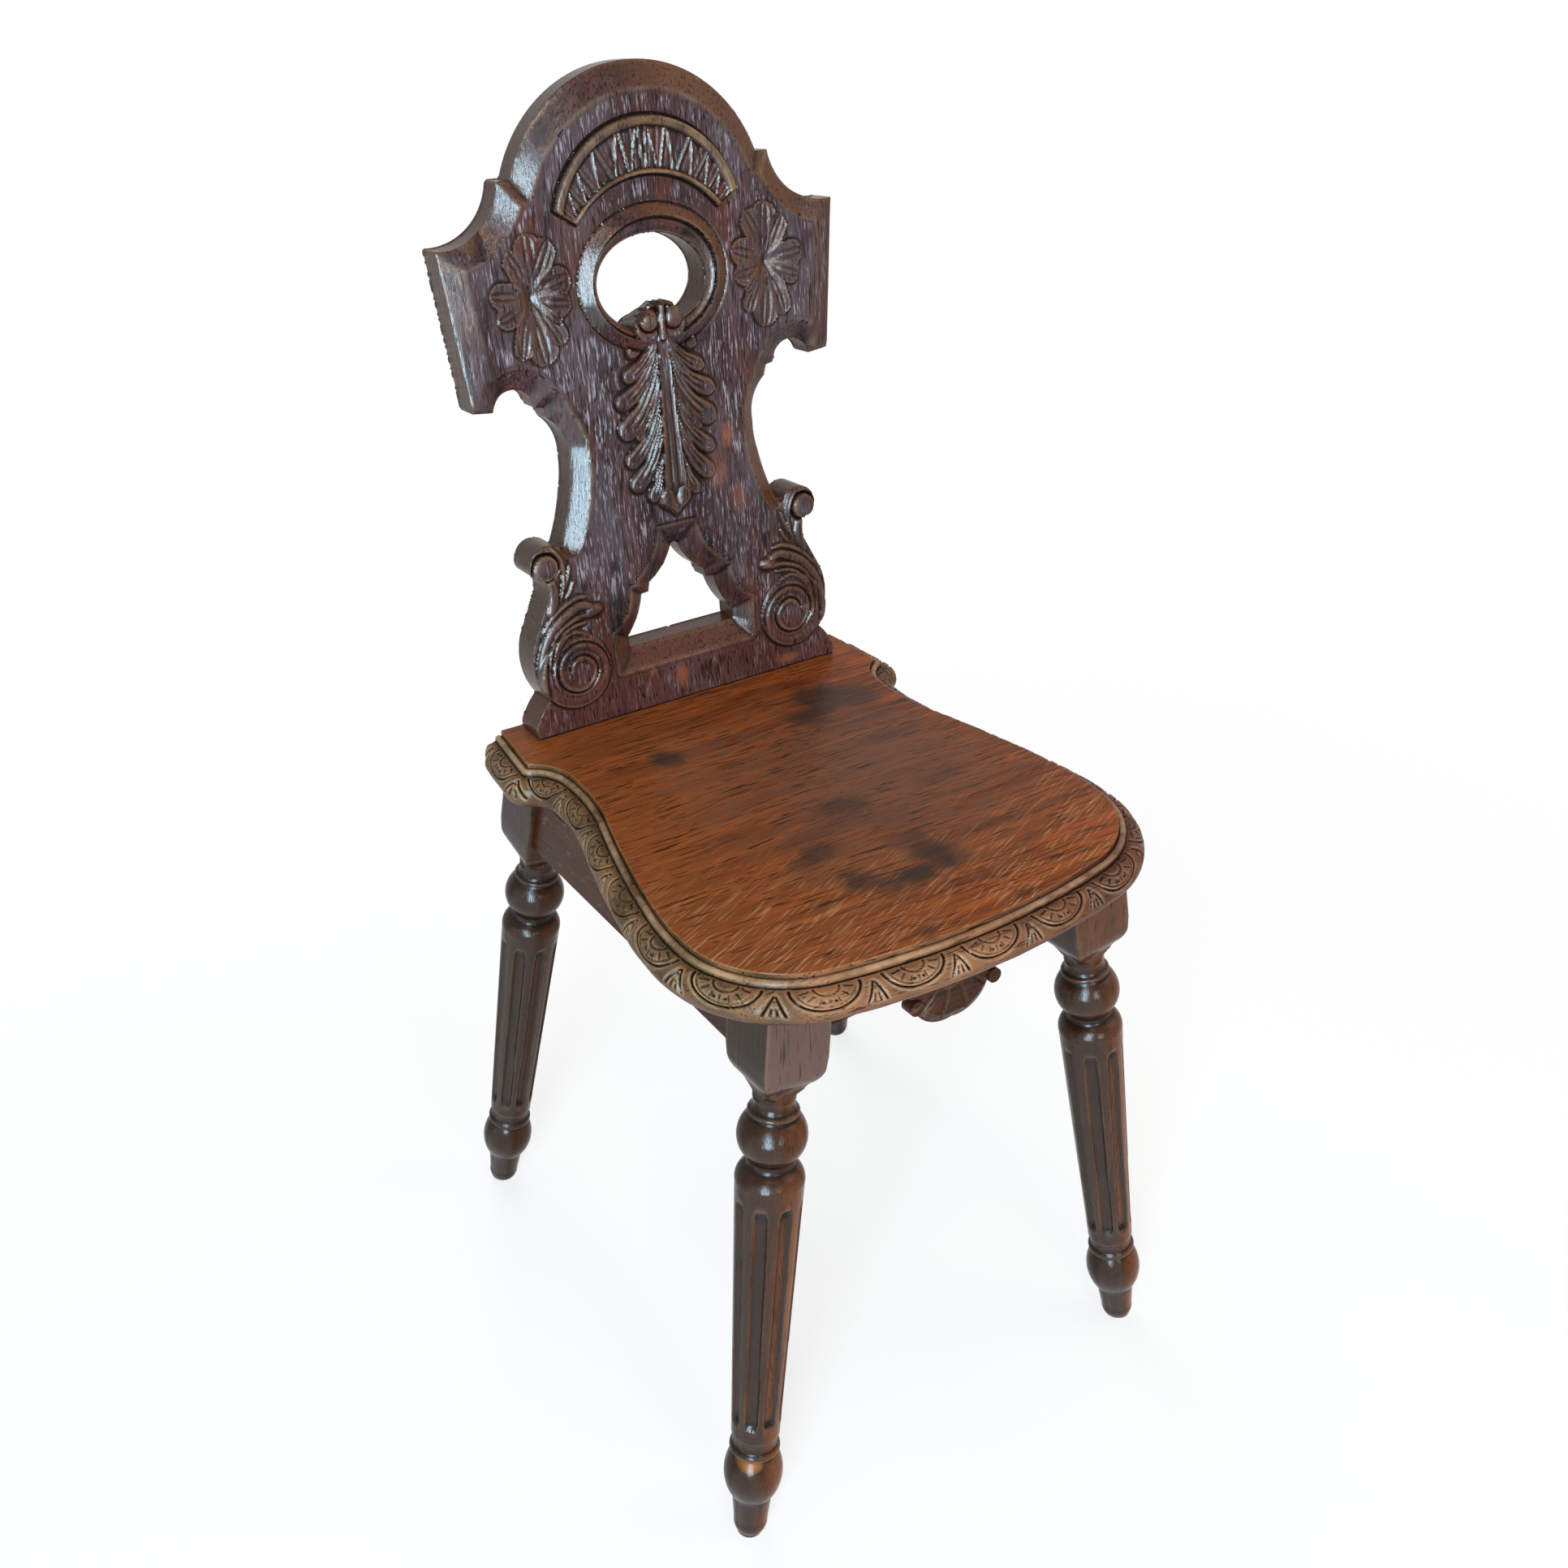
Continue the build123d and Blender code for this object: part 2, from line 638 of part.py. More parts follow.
def build():
    legs = whole_legs()
    rails, tenon_bars = all_rails(legs)
    right_rail = mirror(rails["left_rail"], Plane.YZ)
    legs = {name: leg - tenon_bars for name, leg in legs.items()}
    wedges = tenon_wedges() & back_tenons()
    pins = dowels()
    seat_screws = []
    rail_screws = []
    blocks = {}
    for row, leg in (("front", FRONT_LEG), ("rear", REAR_LEG)):
        for side, hand in ((-1, "left"), (1, "right")):
            others = [*rails.values(), right_rail, *legs.values()]
            seat_screw, into_rails, pockets = corner_screws(leg, row, side)
            block = corner_block(leg, row, side, others)
            blocks[f"{row}_{hand}"] = block - pockets - into_rails - seat_screw
            seat_screws.append(seat_screw)
            rail_screws += into_rails
    seat = whole_seat() - back_tenons() - pins - seat_screws
    halves = split(seat, Plane.XZ.offset(-BOARD_JOINT), keep=Keep.BOTH).solids()
    halves = halves.sort_by(Axis.Y)

    save(halves[0], "seat_front_board")
    save(halves[-1], "seat_rear_board")
    save(pins, "seat_dowels")
    save(whole_back() - wedges, "back_board")
    save(wedges, "back_wedges")
    for name, leg in legs.items():
        save(leg, f"{name}_leg")
    rails = {name: piece - rail_screws for name, piece in rails.items()}
    rails["right_rail"] = mirror(rails["left_rail"], Plane.YZ)
    for name, piece in rails.items():
        save(piece, name)
    save(shell_plane() * front_shell(), "front_pendant")
    for name, block in blocks.items():
        save(block, f"corner_block_{name}")
    save(Part() + seat_screws, "seat_screws")
    save(Part() + rail_screws, "block_screws")


build()
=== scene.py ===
import math

import bmesh
import bpy
import numpy as np
from bpy.props import FloatProperty, FloatVectorProperty, IntProperty, PointerProperty
from mathutils import Matrix, Vector


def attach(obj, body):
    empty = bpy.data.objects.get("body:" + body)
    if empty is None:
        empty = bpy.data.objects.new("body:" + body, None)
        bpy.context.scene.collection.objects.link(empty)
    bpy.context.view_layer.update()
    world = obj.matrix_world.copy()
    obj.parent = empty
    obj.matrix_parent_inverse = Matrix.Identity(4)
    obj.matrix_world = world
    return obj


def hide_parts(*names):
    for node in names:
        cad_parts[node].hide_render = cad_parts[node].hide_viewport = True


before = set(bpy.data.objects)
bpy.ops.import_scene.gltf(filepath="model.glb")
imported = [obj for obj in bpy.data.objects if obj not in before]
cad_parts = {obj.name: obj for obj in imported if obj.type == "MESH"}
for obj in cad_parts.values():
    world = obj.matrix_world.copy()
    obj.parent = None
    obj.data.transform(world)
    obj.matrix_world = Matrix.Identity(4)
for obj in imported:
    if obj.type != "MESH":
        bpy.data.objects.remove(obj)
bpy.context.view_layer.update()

bl_info = {
    "name": "Carved oak hall chair",
    "version": (1, 0, 0),
    "blender": (4, 5, 0),
    "location": "View3D > Sidebar > Hall chair",
    "description": "Builds the carved back, the seat, the fluted legs and their finish",
    "category": "Object",
}

MM = 0.001

# Places of the construction, in millimetres
MIDDLE_TO_BACK = 139.4
SEAT_TOP = 445.0
UNDERSIDE = 417.0
BACK_TILT = math.radians(5)
BACK_THICK = 26.0
CHAMFER_DEPTH = 8.0
FRONT_LEG = ((112.4, -296.0), (168.0, -333.0))
REAR_LEG = ((123.6, -5.0), (173.8, 67.0))

# Right half of the back board's outlines: x across, y up the board. An arc is its middle and its end.
PLINTH = [
    (124, -4), (124, 0), ((125.5, 5), (122.5, 13)), ((118, 20), (112.5, 26)),
    ((120.5, 50), (117.5, 71)), (110, 86), (103.5, 99), (102.5, 105), (104.5, 115),
    ((113.6, 119.8), (113.2, 128)), ((106.5, 136.0), (97, 136.6)), ((92, 134.6), (88.8, 130.2)),
]
CHAMFER_FOOT = PLINTH + [
    (86.2, 131.6), ((79.4, 149), (74.5, 168)), ((72.3, 179), (72, 190)), ((74.5, 207), (84, 219)),
    (86, 226), (91.5, 227), (94, 234), ((107, 241), (121, 229)), (135.4, 231), (144.3, 331),
    ((115.5, 338), (97.5, 366)), (88.5, 366), ((62, 404.5), (0, 427.4)),
]
CHAMFER_TOP = PLINTH + [
    (84.5, 123.8), ((76.8, 127.4), (71.2, 136)), ((63, 163), (60, 190)), ((62, 205), (69, 220)),
    (72, 228), (76, 234), (80, 238), ((98, 254.5), (119.5, 250.5)), (121, 251.5), (128, 318),
    ((105, 328.5), (86.7, 352)), (80, 352), ((55, 390.5), (0, 411)),
]
PIERCING = [
    (2.5, 115), ((8, 104), (22, 91)), (23.6, 84), (29.3, 83.6), ((34.3, 68.6), (43, 55.7)),
    (43, 47), (0, 47),
]
PIERCING_FACE = [
    (14.5, 130.5), ((21, 112), (34.3, 97)), (35, 93.6), (40.7, 93), ((44.5, 75), (57, 63)),
    (56, 31), (0, 31),
]

# Each outline's start on the middle line, with its lines and arcs
OUTLINES = {
    "outer": ((0, -4), CHAMFER_FOOT),
    "inner": ((0, -4), CHAMFER_TOP),
    "piercing": ((0, 116), PIERCING),
    "piercing_face": ((0, 130.5), PIERCING_FACE),
}
BORDERS = ("outer", "piercing", "hole")

# Board's half width and height, and the half width of its foot
BOARD_HALF = 147.0
BOARD_HEIGHT = 428.4
FOOT_HALF = 125.0

# The wing's outer chamfer is shallower: where that sets in across, above and below, and by what share
WING_ACROSS = (112, 128)
WING_FOOT = (222, 236)
WING_TOP = (356, 346)
WING_SHALLOW = 0.48

# Ring with its hole, which lies lower than the ring's middle
RING_MIDDLE = (0.0, 297.0)
RING_OUTER = (54.5, 46.5)
RING_RIDGE = (46.5, 39.2)
RING_HOLE = (40.2, 30.5)
HOLE_DROP = 2.5
CLASP_SIDE = -62.5

# Leaf under the ring: the upper end of each lobe, the point it leans towards, its tip and half width
LEAF_LOBES = [
    ((7, 182), (11, 160), (18.5, 150.5), 5.0),
    ((6, 197), (10, 178), (22, 166), 3.4),
    ((5, 208), (13, 173), (32, 161), 6.6),
    ((5, 225), (11, 191), (34, 178.5), 6.0),
    ((5, 233), (9, 208), (25, 195), 3.6),
    ((4, 248), (12, 211), (37, 199), 8.0),
    ((4, 260), (9, 229), (37.5, 219), 6.4),
    ((4, 259), (8, 241), (18, 232), 3.4),
    ((3.5, 265), (8, 245), (30.5, 235.5), 5.4),
    ((3, 270), (8, 259), (26, 251), 4.6),
]
LEAF_BODY = [
    (3, 262), (10, 255), (15, 240), (17, 228), (20, 212), (20, 196), (18, 182), (17, 170), (13, 160),
    (8, 152), (0, 150),
]
STEM_ENDS = (149, 262)
LEAF_END = [(8.5, 160), (13.5, 154), (12.5, 147.5), (9, 143.5), (5, 141.5), (2.5, 138.5), (0, 136.6)]
CLASP_CROWN = [((9.5, 281.3), (0, 283))]
CLASP = [(12, 258), ((18.8, 265), (16.2, 273.5))] + CLASP_CROWN
CLASP_ROLL = (9.2, 271.8)
# At the rear of the board, between these heights, only a share of the clasp's rise is left
CLASP_HALF = 19.0
CLASP_FOOT = 264.0
CLASP_HEAD = 290.0
CLASP_REAR = 0.45

# Fan over the ring: height of the middle and radius of its upper and lower edge, a point of its end
# and that end's slope
FAN_TOP = (327.4, 68.6)
FAN_LOW = (296.0, 65.0)
FAN_END = (66, 346)
FAN_SLOPE = (9, 13)
FAN_PITCH = 9.6  # degrees from one pair of cuts to the next

# Flower on the wing: tips of the petals from its middle, sideways bow, half width
FLOWER_MIDDLE = (87.0, 296.0)
FLOWER_PETALS = [
    ((0, 39), 2, 9.5), ((-15, 34), -3, 8.5), ((13, 29), 2, 7.5), ((28, 5), 1, 8.5),
    ((25, -11), -2, 7.5), ((-27, 11), -2, 9.5), ((-26, -6), 2, 8.0), ((-17, -18), 0, 5.0),
    ((-5, -42), 1, 9.5), ((-17, -31), -2, 7.0), ((11, -36), 2, 7.0),
]

# Scroll at the foot of the back. The spiral's radius is given at each quarter turn.
VOLUTE_MIDDLE = (88.0, 43.5)
VOLUTE_RADII = (7, 11.5, 14, 15.5, 16.5, 21, 23.5, 26.5, 29.5)
BUTTON_MIDDLE = (103.5, 122.5)
SCROLL_STRANDS = [
    ([(69, 84), (79, 90), (91, 86.5), (103, 78), (111, 66), (115.5, 52), (115.5, 36), (111.5, 24)],
     3.8, 2.8),
    ([(75, 95.5), (84, 96), (95, 91.5), (104, 84.5), (113, 74)], 1.9, 1.8),
    ([(71, 81), (80, 82.5), (92, 79.5), (101.5, 73), (108.5, 62), (111, 48)], 2.0, 2.4),
    ([(77, 77.5), (88, 76.5), (96.5, 72.5), (103.5, 64.5), (107.5, 54)], 1.7, 1.9),
    ([(81, 70), (90, 72.5), (97, 69), (103, 61), (106.5, 51), (107, 41), (104, 31)], 1.6, 1.4),
    ([(98, 136), (93, 128.5), (90.5, 120), (91.2, 109), (95, 96)], 1.7, 1.8),
    ([(85, 121), (87.2, 113), (91.5, 103)], 1.4, 1.4),
    ([(83.5, 109), (86.8, 102), (91, 97)], 1.3, 1.3),
    ([(100.5, 113), (99.5, 103), (101, 94), (105, 87)], 4.0, 1.9),
]

# Seat: tangent arcs of the flat's edge from the middle of the front, as radius and degrees turned
SEAT_FRONT = -338.5
SEAT_REAR = 29.0
SEAT_ARCS = [(483.2, 11.8), (71.1, 74.1), (184.8, 12.0), (850.3, 7.2), (-188.5, 20.3), (-37.4, 54.5)]
EAR_REAR = (141.0, 29.0)
EAR_ROUND = 12.0
BOARD_JOINT = -117.0
RIM_REACH = 18.0
# Section of the edge, outwards and up from the flat's edge: quirk, bead, quirk, half-round
RIM_SECTION = [
    ((-0.1, 444.85), (0.1, 444.3)), (0.45, 440.5), ((2.9, 442.2), (5.0, 440.2)), (5.3, 438.2),
    (7.8, 438.0), ((18.0, 427.5), (7.8, 417.0)),
]
HALF_ROUND_START = 5.25
OUTWARD_POINTS = 20  # points at the section's start that only run outwards
MORTISE = (64.0, 50.0, 6.0, 14.0)  # middle and width across, near side behind the face, thickness

# Turned leg, radius and height
LEG_PROFILE = [
    (9, 0), ((10.9, 4), (11.5, 10)), (13.5, 32), ((19.8, 55), (14.8, 71)),
    ((17, 74.5), (15.2, 78)), ((14.9, 82), (16.2, 87)), (21.75, 287), ((20.3, 295), (15.6, 299.5)),
    ((14.6, 303), (15.6, 306.2)), ((21.9, 320.5), (15.9, 335.2)), (15.3, 336.6),
    ((16.2, 338.2), (15.3, 339.8)), (14.2, 340.4), ((13.1, 343), (13.4, 348)),
]
BLOCK_PROFILE = [
    ((13.5, 357), (15.8, 360.8)), ((20.0, 366), (21.9, 373)), (22.5, 381), (22.5, 438),
]
BLOCK_FOOT = 348.2
LATHE_CUT = (13.4, 352.0, 1.15)  # radius the lathe left at the block's foot, its height, its slope
FLUTES = 8
FLUTE_ENDS = (99.0, 277.0)
FLUTE_HALF = 4.3

# Places of the stains on the seat, in millimetres: across, behind the back's face, half sizes, hollow
# radius and strength
SEAT_STAINS = [
    (-12, -240, 46, 46, 0.80, 0.40), (-6, -281, 30, 9, 0, 0.85), (-38, -266, 14, 11, 0, 0.75),
    (20, -268, 15, 17, 0, 0.8), (-40, -228, 17, 11, 0, 0.6), (2, -190, 20, 12, 0, 0.6),
    (14, -243, 18, 9, 0, 0.5), (78, -196, 22, 8, 0, 0.4), (-62, -73, 12, 13, 0, 0.8),
    (72, -52, 22, 18, 0, 0.8), (56, -75, 22, 16, 0, 0.7), (98, -68, 22, 18, 0, 0.7),
    (-70, -182, 26, 5, 0, 0.4), (85, -128, 26, 9, 0, 0.35), (-34, -330, 8, 6, 0, 0.6),
]
# Chips of the back, in millimetres: across, up from the floor, half sizes and strength
BACK_CHIPS = [
    (-7, 464, 4, 8, 0.8), (84, 452, 9, 4, 0.7), (46, 629, 6, 9, 0.8), (-30, 472, 3, 5, 0.5),
    (36, 606, 10, 16, 0.4), (50, 585, 7, 12, 0.4),
]

# Heights in metres between which a tone fades in: the red foot of the back, the fan's painted bronze
# highlight, the rim's side below the flat, its lower roll and the legs' blocks, with their painted light and
# shade
RED_FOOT = (0.500, 0.478)
BRONZE_FOOT = (0.782, 0.786)
RIM_SIDE = (0.4447, 0.4442)
RIM_LOWER = (0.4290, 0.4210)
BLOCK_HEIGHT = (0.352, 0.357)
# Painted bronze highlight lines of the fan: height of the middle, radius and half width, in metres
FAN_ROLL = (0.7712, 0.0657, 0.0030)
FAN_LIP = (0.7399, 0.0664, 0.0016)
# Worn middle of the seat, worn patch of a foot: middle and half sizes in metres
SEAT_WORN = ((0.03, -0.03, 0.445), (0.11, 0.12, 1.0))
FOOT_PATCH = ((-0.176, -0.205, 0.072), (0.014, 0.014, 0.005))
GLUE_LINE_MIDDLE = 0.055
GLUE_LINE_HALF = (0.055, 0.0005, 1.0)

# Directions that a surface may face, and the turn that lays the grain along each axis
FRONT = (0.0, -1.0, 0.0)
REAR = (0.0, 1.0, 0.0)
LEFT = (-1.0, 0.0, 0.0)
POLISHED_SIDE = (-0.7, -0.7, 0.1)
GRAIN_RELIEF = 0.0004
GRAIN_UP = (0.0, 0.0, 0.0)
GRAIN_ACROSS = (0.0, math.radians(-90), 0.0)
GRAIN_LENGTHWAYS = (math.radians(90), 0.0, 0.0)

# Studio: half size of the floor, the background's strength for other rays, and the lamps by name,
# with place, target, size, watts and colour
FLOOR_HALF = 12.0
FILL_STRENGTH = 0.24
LAMPS = (
    ("window", (-1.27, -1.33, 1.0), (0, 0.1, 1.0), (0.55, 1.9), 60.0, (0.58, 0.84, 1.0)),
    ("door", (-0.2, -2.4, 1.0), (0, 0, 0.7), (0.3, 1.1), 14.0, (1.0, 0.87, 0.76)),
    ("bulb", (-0.66, -1.08, 2.6), (0, 0, 0.6), (0.3, 0.3), 8.0, (1.0, 0.78, 0.52)),
    ("rear", (0.3, 2.2, 0.9), (0, 0, 0.6), (1.4, 1.2), 30.0, (1.0, 0.97, 0.93)),
    ("room", (1.8, -1.2, 1.9), (0, 0, 0.4), (1.4, 1.4), 18.0, (1.0, 0.90, 0.78)),
    ("ceiling", (0.2, 0.4, 2.6), (0, 0, 0.3), (2.0, 2.0), 19.0, (1.0, 0.95, 0.88)),
)
UNSEEN_IN_GLOSS = ("rear", "ceiling")

# Camera of the photograph: its place in metres, its lens and its angles in degrees
CAMERA_PLACE = (-0.48901, -0.76466, 0.98370)
SENSOR_WIDTH = 36.0
LENS = 35.918
CAMERA_TURN = -32.087
CAMERA_DOWN = 31.034
CAMERA_ROLL = -0.928

NO_CARVING = -99.0  # a height that marks where a carved form isn't
CARVED = -50.0  # above this the form is there


# Curves and fields

def arc_points(start, middle, end, spacing):
    """Points after the start of the arc through three points."""
    (ax, ay), (bx, by), (cx, cy) = start, middle, end
    d = 2 * (ax * (by - cy) + bx * (cy - ay) + cx * (ay - by))
    a, b, c = ax**2 + ay**2, bx**2 + by**2, cx**2 + cy**2
    ux = (a * (by - cy) + b * (cy - ay) + c * (ay - by)) / d
    uy = (a * (cx - bx) + b * (ax - cx) + c * (bx - ax)) / d
    radius = np.hypot(ax - ux, ay - uy)
    first, second, third = (np.arctan2(p[1] - uy, p[0] - ux) for p in (start, middle, end))
    turn = (third - first) % (2 * np.pi)
    if (second - first) % (2 * np.pi) > turn:
        turn -= 2 * np.pi
    steps = max(int(abs(turn) * radius / spacing), 3)
    angles = first + turn * np.arange(1, steps + 1) / steps
    return np.stack([ux + radius * np.cos(angles), uy + radius * np.sin(angles)], 1)


def trace(start, moves, spacing=1.2, straight=None):
    """Points along lines and arcs, with the straight runs divided too if asked."""
    points = [np.array(start, float)]
    for move in moves:
        here = points[-1]
        if isinstance(move[0], tuple):
            points += list(arc_points(here, *(np.array(p, float) for p in move), spacing))
            continue
        end = np.array(move, float)
        steps = max(int(np.hypot(*(end - here)) / straight), 1) if straight else 1
        points += [here + (end - here) * step / steps for step in range(1, steps + 1)]
    return np.array(points)


def corners_of(start, moves):
    """The ends of an outline's lines and arcs."""
    return [start] + [move[1] if isinstance(move[0], tuple) else move for move in moves]


def closed(half):
    """A right half outline joined to its mirror image."""
    left = half[::-1] * np.array([-1, 1])
    return np.concatenate([half, left[1:-1]])


def nearest(px, py, ring):
    """Distance to a closed outline, positive inside it, and the outline's nearest point."""
    best = np.full(px.shape, 1e9)
    foot_x, foot_y = px.copy(), py.copy()
    inside = np.zeros(px.shape, bool)
    for (ax, ay), (bx, by) in zip(ring, np.roll(ring, -1, axis=0)):
        ex, ey = bx - ax, by - ay
        share = np.clip(((px - ax) * ex + (py - ay) * ey) / (ex * ex + ey * ey + 1e-12), 0, 1)
        qx, qy = ax + share * ex, ay + share * ey
        gap = (px - qx) ** 2 + (py - qy) ** 2
        closer = gap < best
        best[closer] = gap[closer]
        foot_x[closer], foot_y[closer] = qx[closer], qy[closer]
        if ay != by:
            inside ^= ((ay > py) != (by > py)) & (px < ex * (py - ay) / ey + ax)
    return np.where(inside, 1, -1) * np.sqrt(best), foot_x, foot_y


def smooth(low, high, value):
    """A soft step from zero at low to one at high."""
    share = np.clip((value - low) / (high - low), 0, 1)
    return share * share * (3 - 2 * share)


def bend(start, pull, end, steps=20):
    """Points of a curve from start to end that leans towards pull."""
    t = np.linspace(0, 1, steps)[:, None]
    start, pull, end = (np.array(p, float) for p in (start, pull, end))
    return (1 - t) ** 2 * start + 2 * t * (1 - t) * pull + t * t * end


def along(px, py, line):
    """Share of the way along a line of points, and signed distance to its side."""
    best = np.full(px.shape, 1e9)
    share = np.zeros(px.shape)
    side = np.zeros(px.shape)
    legs = np.diff(line, axis=0)
    lengths = np.hypot(legs[:, 0], legs[:, 1])
    done = 0.0
    for (ax, ay), (ex, ey), length in zip(line[:-1], legs, lengths):
        t = np.clip(((px - ax) * ex + (py - ay) * ey) / length**2, 0, 1)
        dx, dy = px - ax - t * ex, py - ay - t * ey
        distance = np.hypot(dx, dy)
        closer = distance < best
        best = np.where(closer, distance, best)
        share = np.where(closer, (done + t * length) / lengths.sum(), share)
        side = np.where(closer, np.sign(ex * dy - ey * dx) * distance, side)
        done += length
    return share, side


def wavering(x, y, size):
    """Slow rise and fall of a hand-worked surface, from minus one to one."""
    first = np.sin(x / size + 1.3 * np.sin(y / size * 0.7))
    second = np.sin(y / size * 1.3 + 0.8 * np.sin(x / size * 0.9 + 2))
    return (first + second) / 2


def line_cut(distance, width):
    """Profile of a gouge's cut, one in its middle."""
    return np.exp(-((distance / width) ** 2))


def flowing(points, steps=8):
    """A smooth line that passes through every point."""
    points = np.array(points, float)
    ends = np.concatenate([[2 * points[0] - points[1]], points, [2 * points[-1] - points[-2]]])
    t = np.linspace(0, 1, steps, endpoint=False)[:, None]
    line = []
    for before, start, end, after in zip(ends[:-3], ends[1:-2], ends[2:-1], ends[3:]):
        curve = 2 * start + (end - before) * t + (2 * before - 5 * start + 4 * end - after) * t**2
        line.append((curve + (3 * start - before - 3 * end + after) * t**3) / 2)
    return np.concatenate(line + [points[-1:]])


# Carving of the back

def lobe(px, py, line, width):
    """Height of a leaf's lobe along a line: strands that end in a hollow rounded tip."""
    out = np.full(px.shape, NO_CARVING)
    low, high = line.min(0) - width - 1, line.max(0) + width + 1
    near = (px > low[0]) & (px < high[0]) & (py > low[1]) & (py < high[1])
    if not near.any():
        return out
    share, side = along(px[near], py[near], line)
    length = np.hypot(*np.diff(line, axis=0).T).sum()
    rest = np.clip((1 - share) * length / width, 0, 1)
    swell = np.clip(0.28 + 1.05 * share, 0, 1) - 0.16 * line_cut(share - 0.6, 0.13)
    reach = np.maximum(width * swell * np.sqrt(1 - (1 - rest) ** 2), 0.3)
    across = side / reach
    rise = np.interp(share, [0, 0.45, 0.82, 1], [4.3, 3.6, 4.0, 3.0])
    body = np.clip(1 - np.abs(across) ** 2.6, 0, 1) ** 0.55
    strands = line_cut(across + 0.34, 0.16) + line_cut(across - 0.3, 0.16)
    strands *= smooth(0.9, 0.72, share) * smooth(1.7, 3.0, reach)
    scoop = line_cut(across, 0.55) * smooth(0.66, 0.84, share) * rest
    value = rise * body - 1.3 * strands - 1.1 * scoop
    value[np.abs(across) > 1] = NO_CARVING
    out[near] = value
    return out


def strand(px, py, points, width, height):
    """Height of a rounded bead along a smooth line, fading at both ends."""
    share, side = along(px, py, flowing(points))
    taper = np.interp(share, [0, 0.3, 0.7, 1], [0.8, 1, 0.9, 0.5])
    ends = np.sqrt(np.clip(np.minimum(share / 0.07, (1 - share) / 0.12), 0.001, 1))
    body = np.clip(1 - (side / (width * taper * ends)) ** 2, 0, 1) ** 0.6
    return height * body * ends


def hole_outline():
    """The right half of the ring's hole, down to the clasp and over its top."""
    angles = np.radians(np.linspace(90, CLASP_SIDE, 70))
    arc = np.stack([
        RING_MIDDLE[0] + RING_HOLE[0] * np.cos(angles),
        RING_MIDDLE[1] - HOLE_DROP + RING_HOLE[1] * np.sin(angles),
    ], 1)
    clasp = trace(arc[-1], [((18.0, 270.5), (16.2, 273.5))] + CLASP_CROWN)
    return np.concatenate([arc, clasp[1:]])


def oval_reach(px, py, size):
    """Distance from the ring's middle to an oval, in the direction of each point."""
    dx, dy = px - RING_MIDDLE[0], py - RING_MIDDLE[1]
    return (np.hypot(dx, dy) + 1e-6) / np.sqrt((dx / size[0]) ** 2 + (dy / size[1]) ** 2 + 1e-12)


def board_fields(px, py):
    """Distance and nearest point for each outline that the board's points are fitted to."""
    outlines = {name: trace(start, moves) for name, (start, moves) in OUTLINES.items()}
    outlines["hole"] = hole_outline()
    return {name: nearest(px, py, closed(half)) for name, half in outlines.items()}


def fan_height(px, py, height):
    """Arched band over the ring with a roll, a thin lip and crossing cuts between them."""
    from_top = FAN_TOP[1] - np.hypot(px, py - FAN_TOP[0])
    from_low = np.hypot(px, py - FAN_LOW[0]) - FAN_LOW[1]
    slope_x, slope_y = FAN_SLOPE
    from_end = ((py - FAN_END[1]) * slope_y - (px - FAN_END[0]) * slope_x) / math.hypot(slope_x, slope_y)
    pad = np.minimum(np.minimum(from_top, from_low), from_end)
    band = smooth(0, 0.9, pad) * 3.2
    roll = np.sqrt(np.clip(1 - ((from_top - 2.9) / 2.9) ** 2, 0, 1)) * 1.6
    lip = np.sqrt(np.clip(1 - ((from_low - 1.4) / 1.4) ** 2, 0, 1)) * 1.2
    floor = -1.4 * smooth(0, 0.8, np.minimum(from_top - 6.2, from_low - 3.0))
    turn = np.degrees(np.arctan2(px, py - FAN_LOW[0])) + 1.5 * np.sin(px / 9.0)
    share = np.clip((from_low - 3.0) / np.maximum(from_low - 3.0 + from_top - 6.2, 0.5), 0, 1)
    saw = (turn / FAN_PITCH) % 1
    upright = np.abs(saw - (0.12 + 0.10 * share)) * FAN_PITCH * 1.3
    slanting = np.abs(saw - (0.92 - 0.62 * share)) * FAN_PITCH * 1.3
    on_floor = floor < -1.0
    field = 1.5 * line_cut(upright, 0.75) + 1.0 * line_cut(slanting, 0.65)
    field -= 0.5 * np.sin(2 * np.pi * saw) ** 2
    height = np.where(pad > 0, np.maximum(band + roll + lip + floor + field * on_floor, height), height)
    return height - 0.8 * np.exp(-(((pad + 0.6) / 0.7) ** 2)) * (pad <= 0) * (py > 330)


def ring_height(px, py, height):
    """Sloping collar and inner roll of the ring."""
    radius = np.hypot(px - RING_MIDDLE[0], py - RING_MIDDLE[1])
    outer, ridge_at, hole = (oval_reach(px, py, size) for size in (RING_OUTER, RING_RIDGE, RING_HOLE))
    hole = hole - HOLE_DROP * (py - RING_MIDDLE[1]) / (radius + 1e-6)
    collar = 0.3 + 4.6 * np.clip((outer - radius) / (outer - ridge_at), 0, 1)
    share = np.clip((ridge_at - radius) / (ridge_at - hole), 0, 1)
    roll = 2.6 - 7.6 * (1 - np.sqrt(np.clip(1 - share**2, 0, 1)))
    roll += 2.3 * smooth(0.12, 0.0, share) - 1.2 * line_cut(share - 0.16, 0.07)
    ring = np.where(radius > ridge_at, collar, roll)
    quirk = 0.9 * np.exp(-(((radius - outer - 0.7) / 0.7) ** 2))
    return np.where(radius < outer, ring, height - quirk)


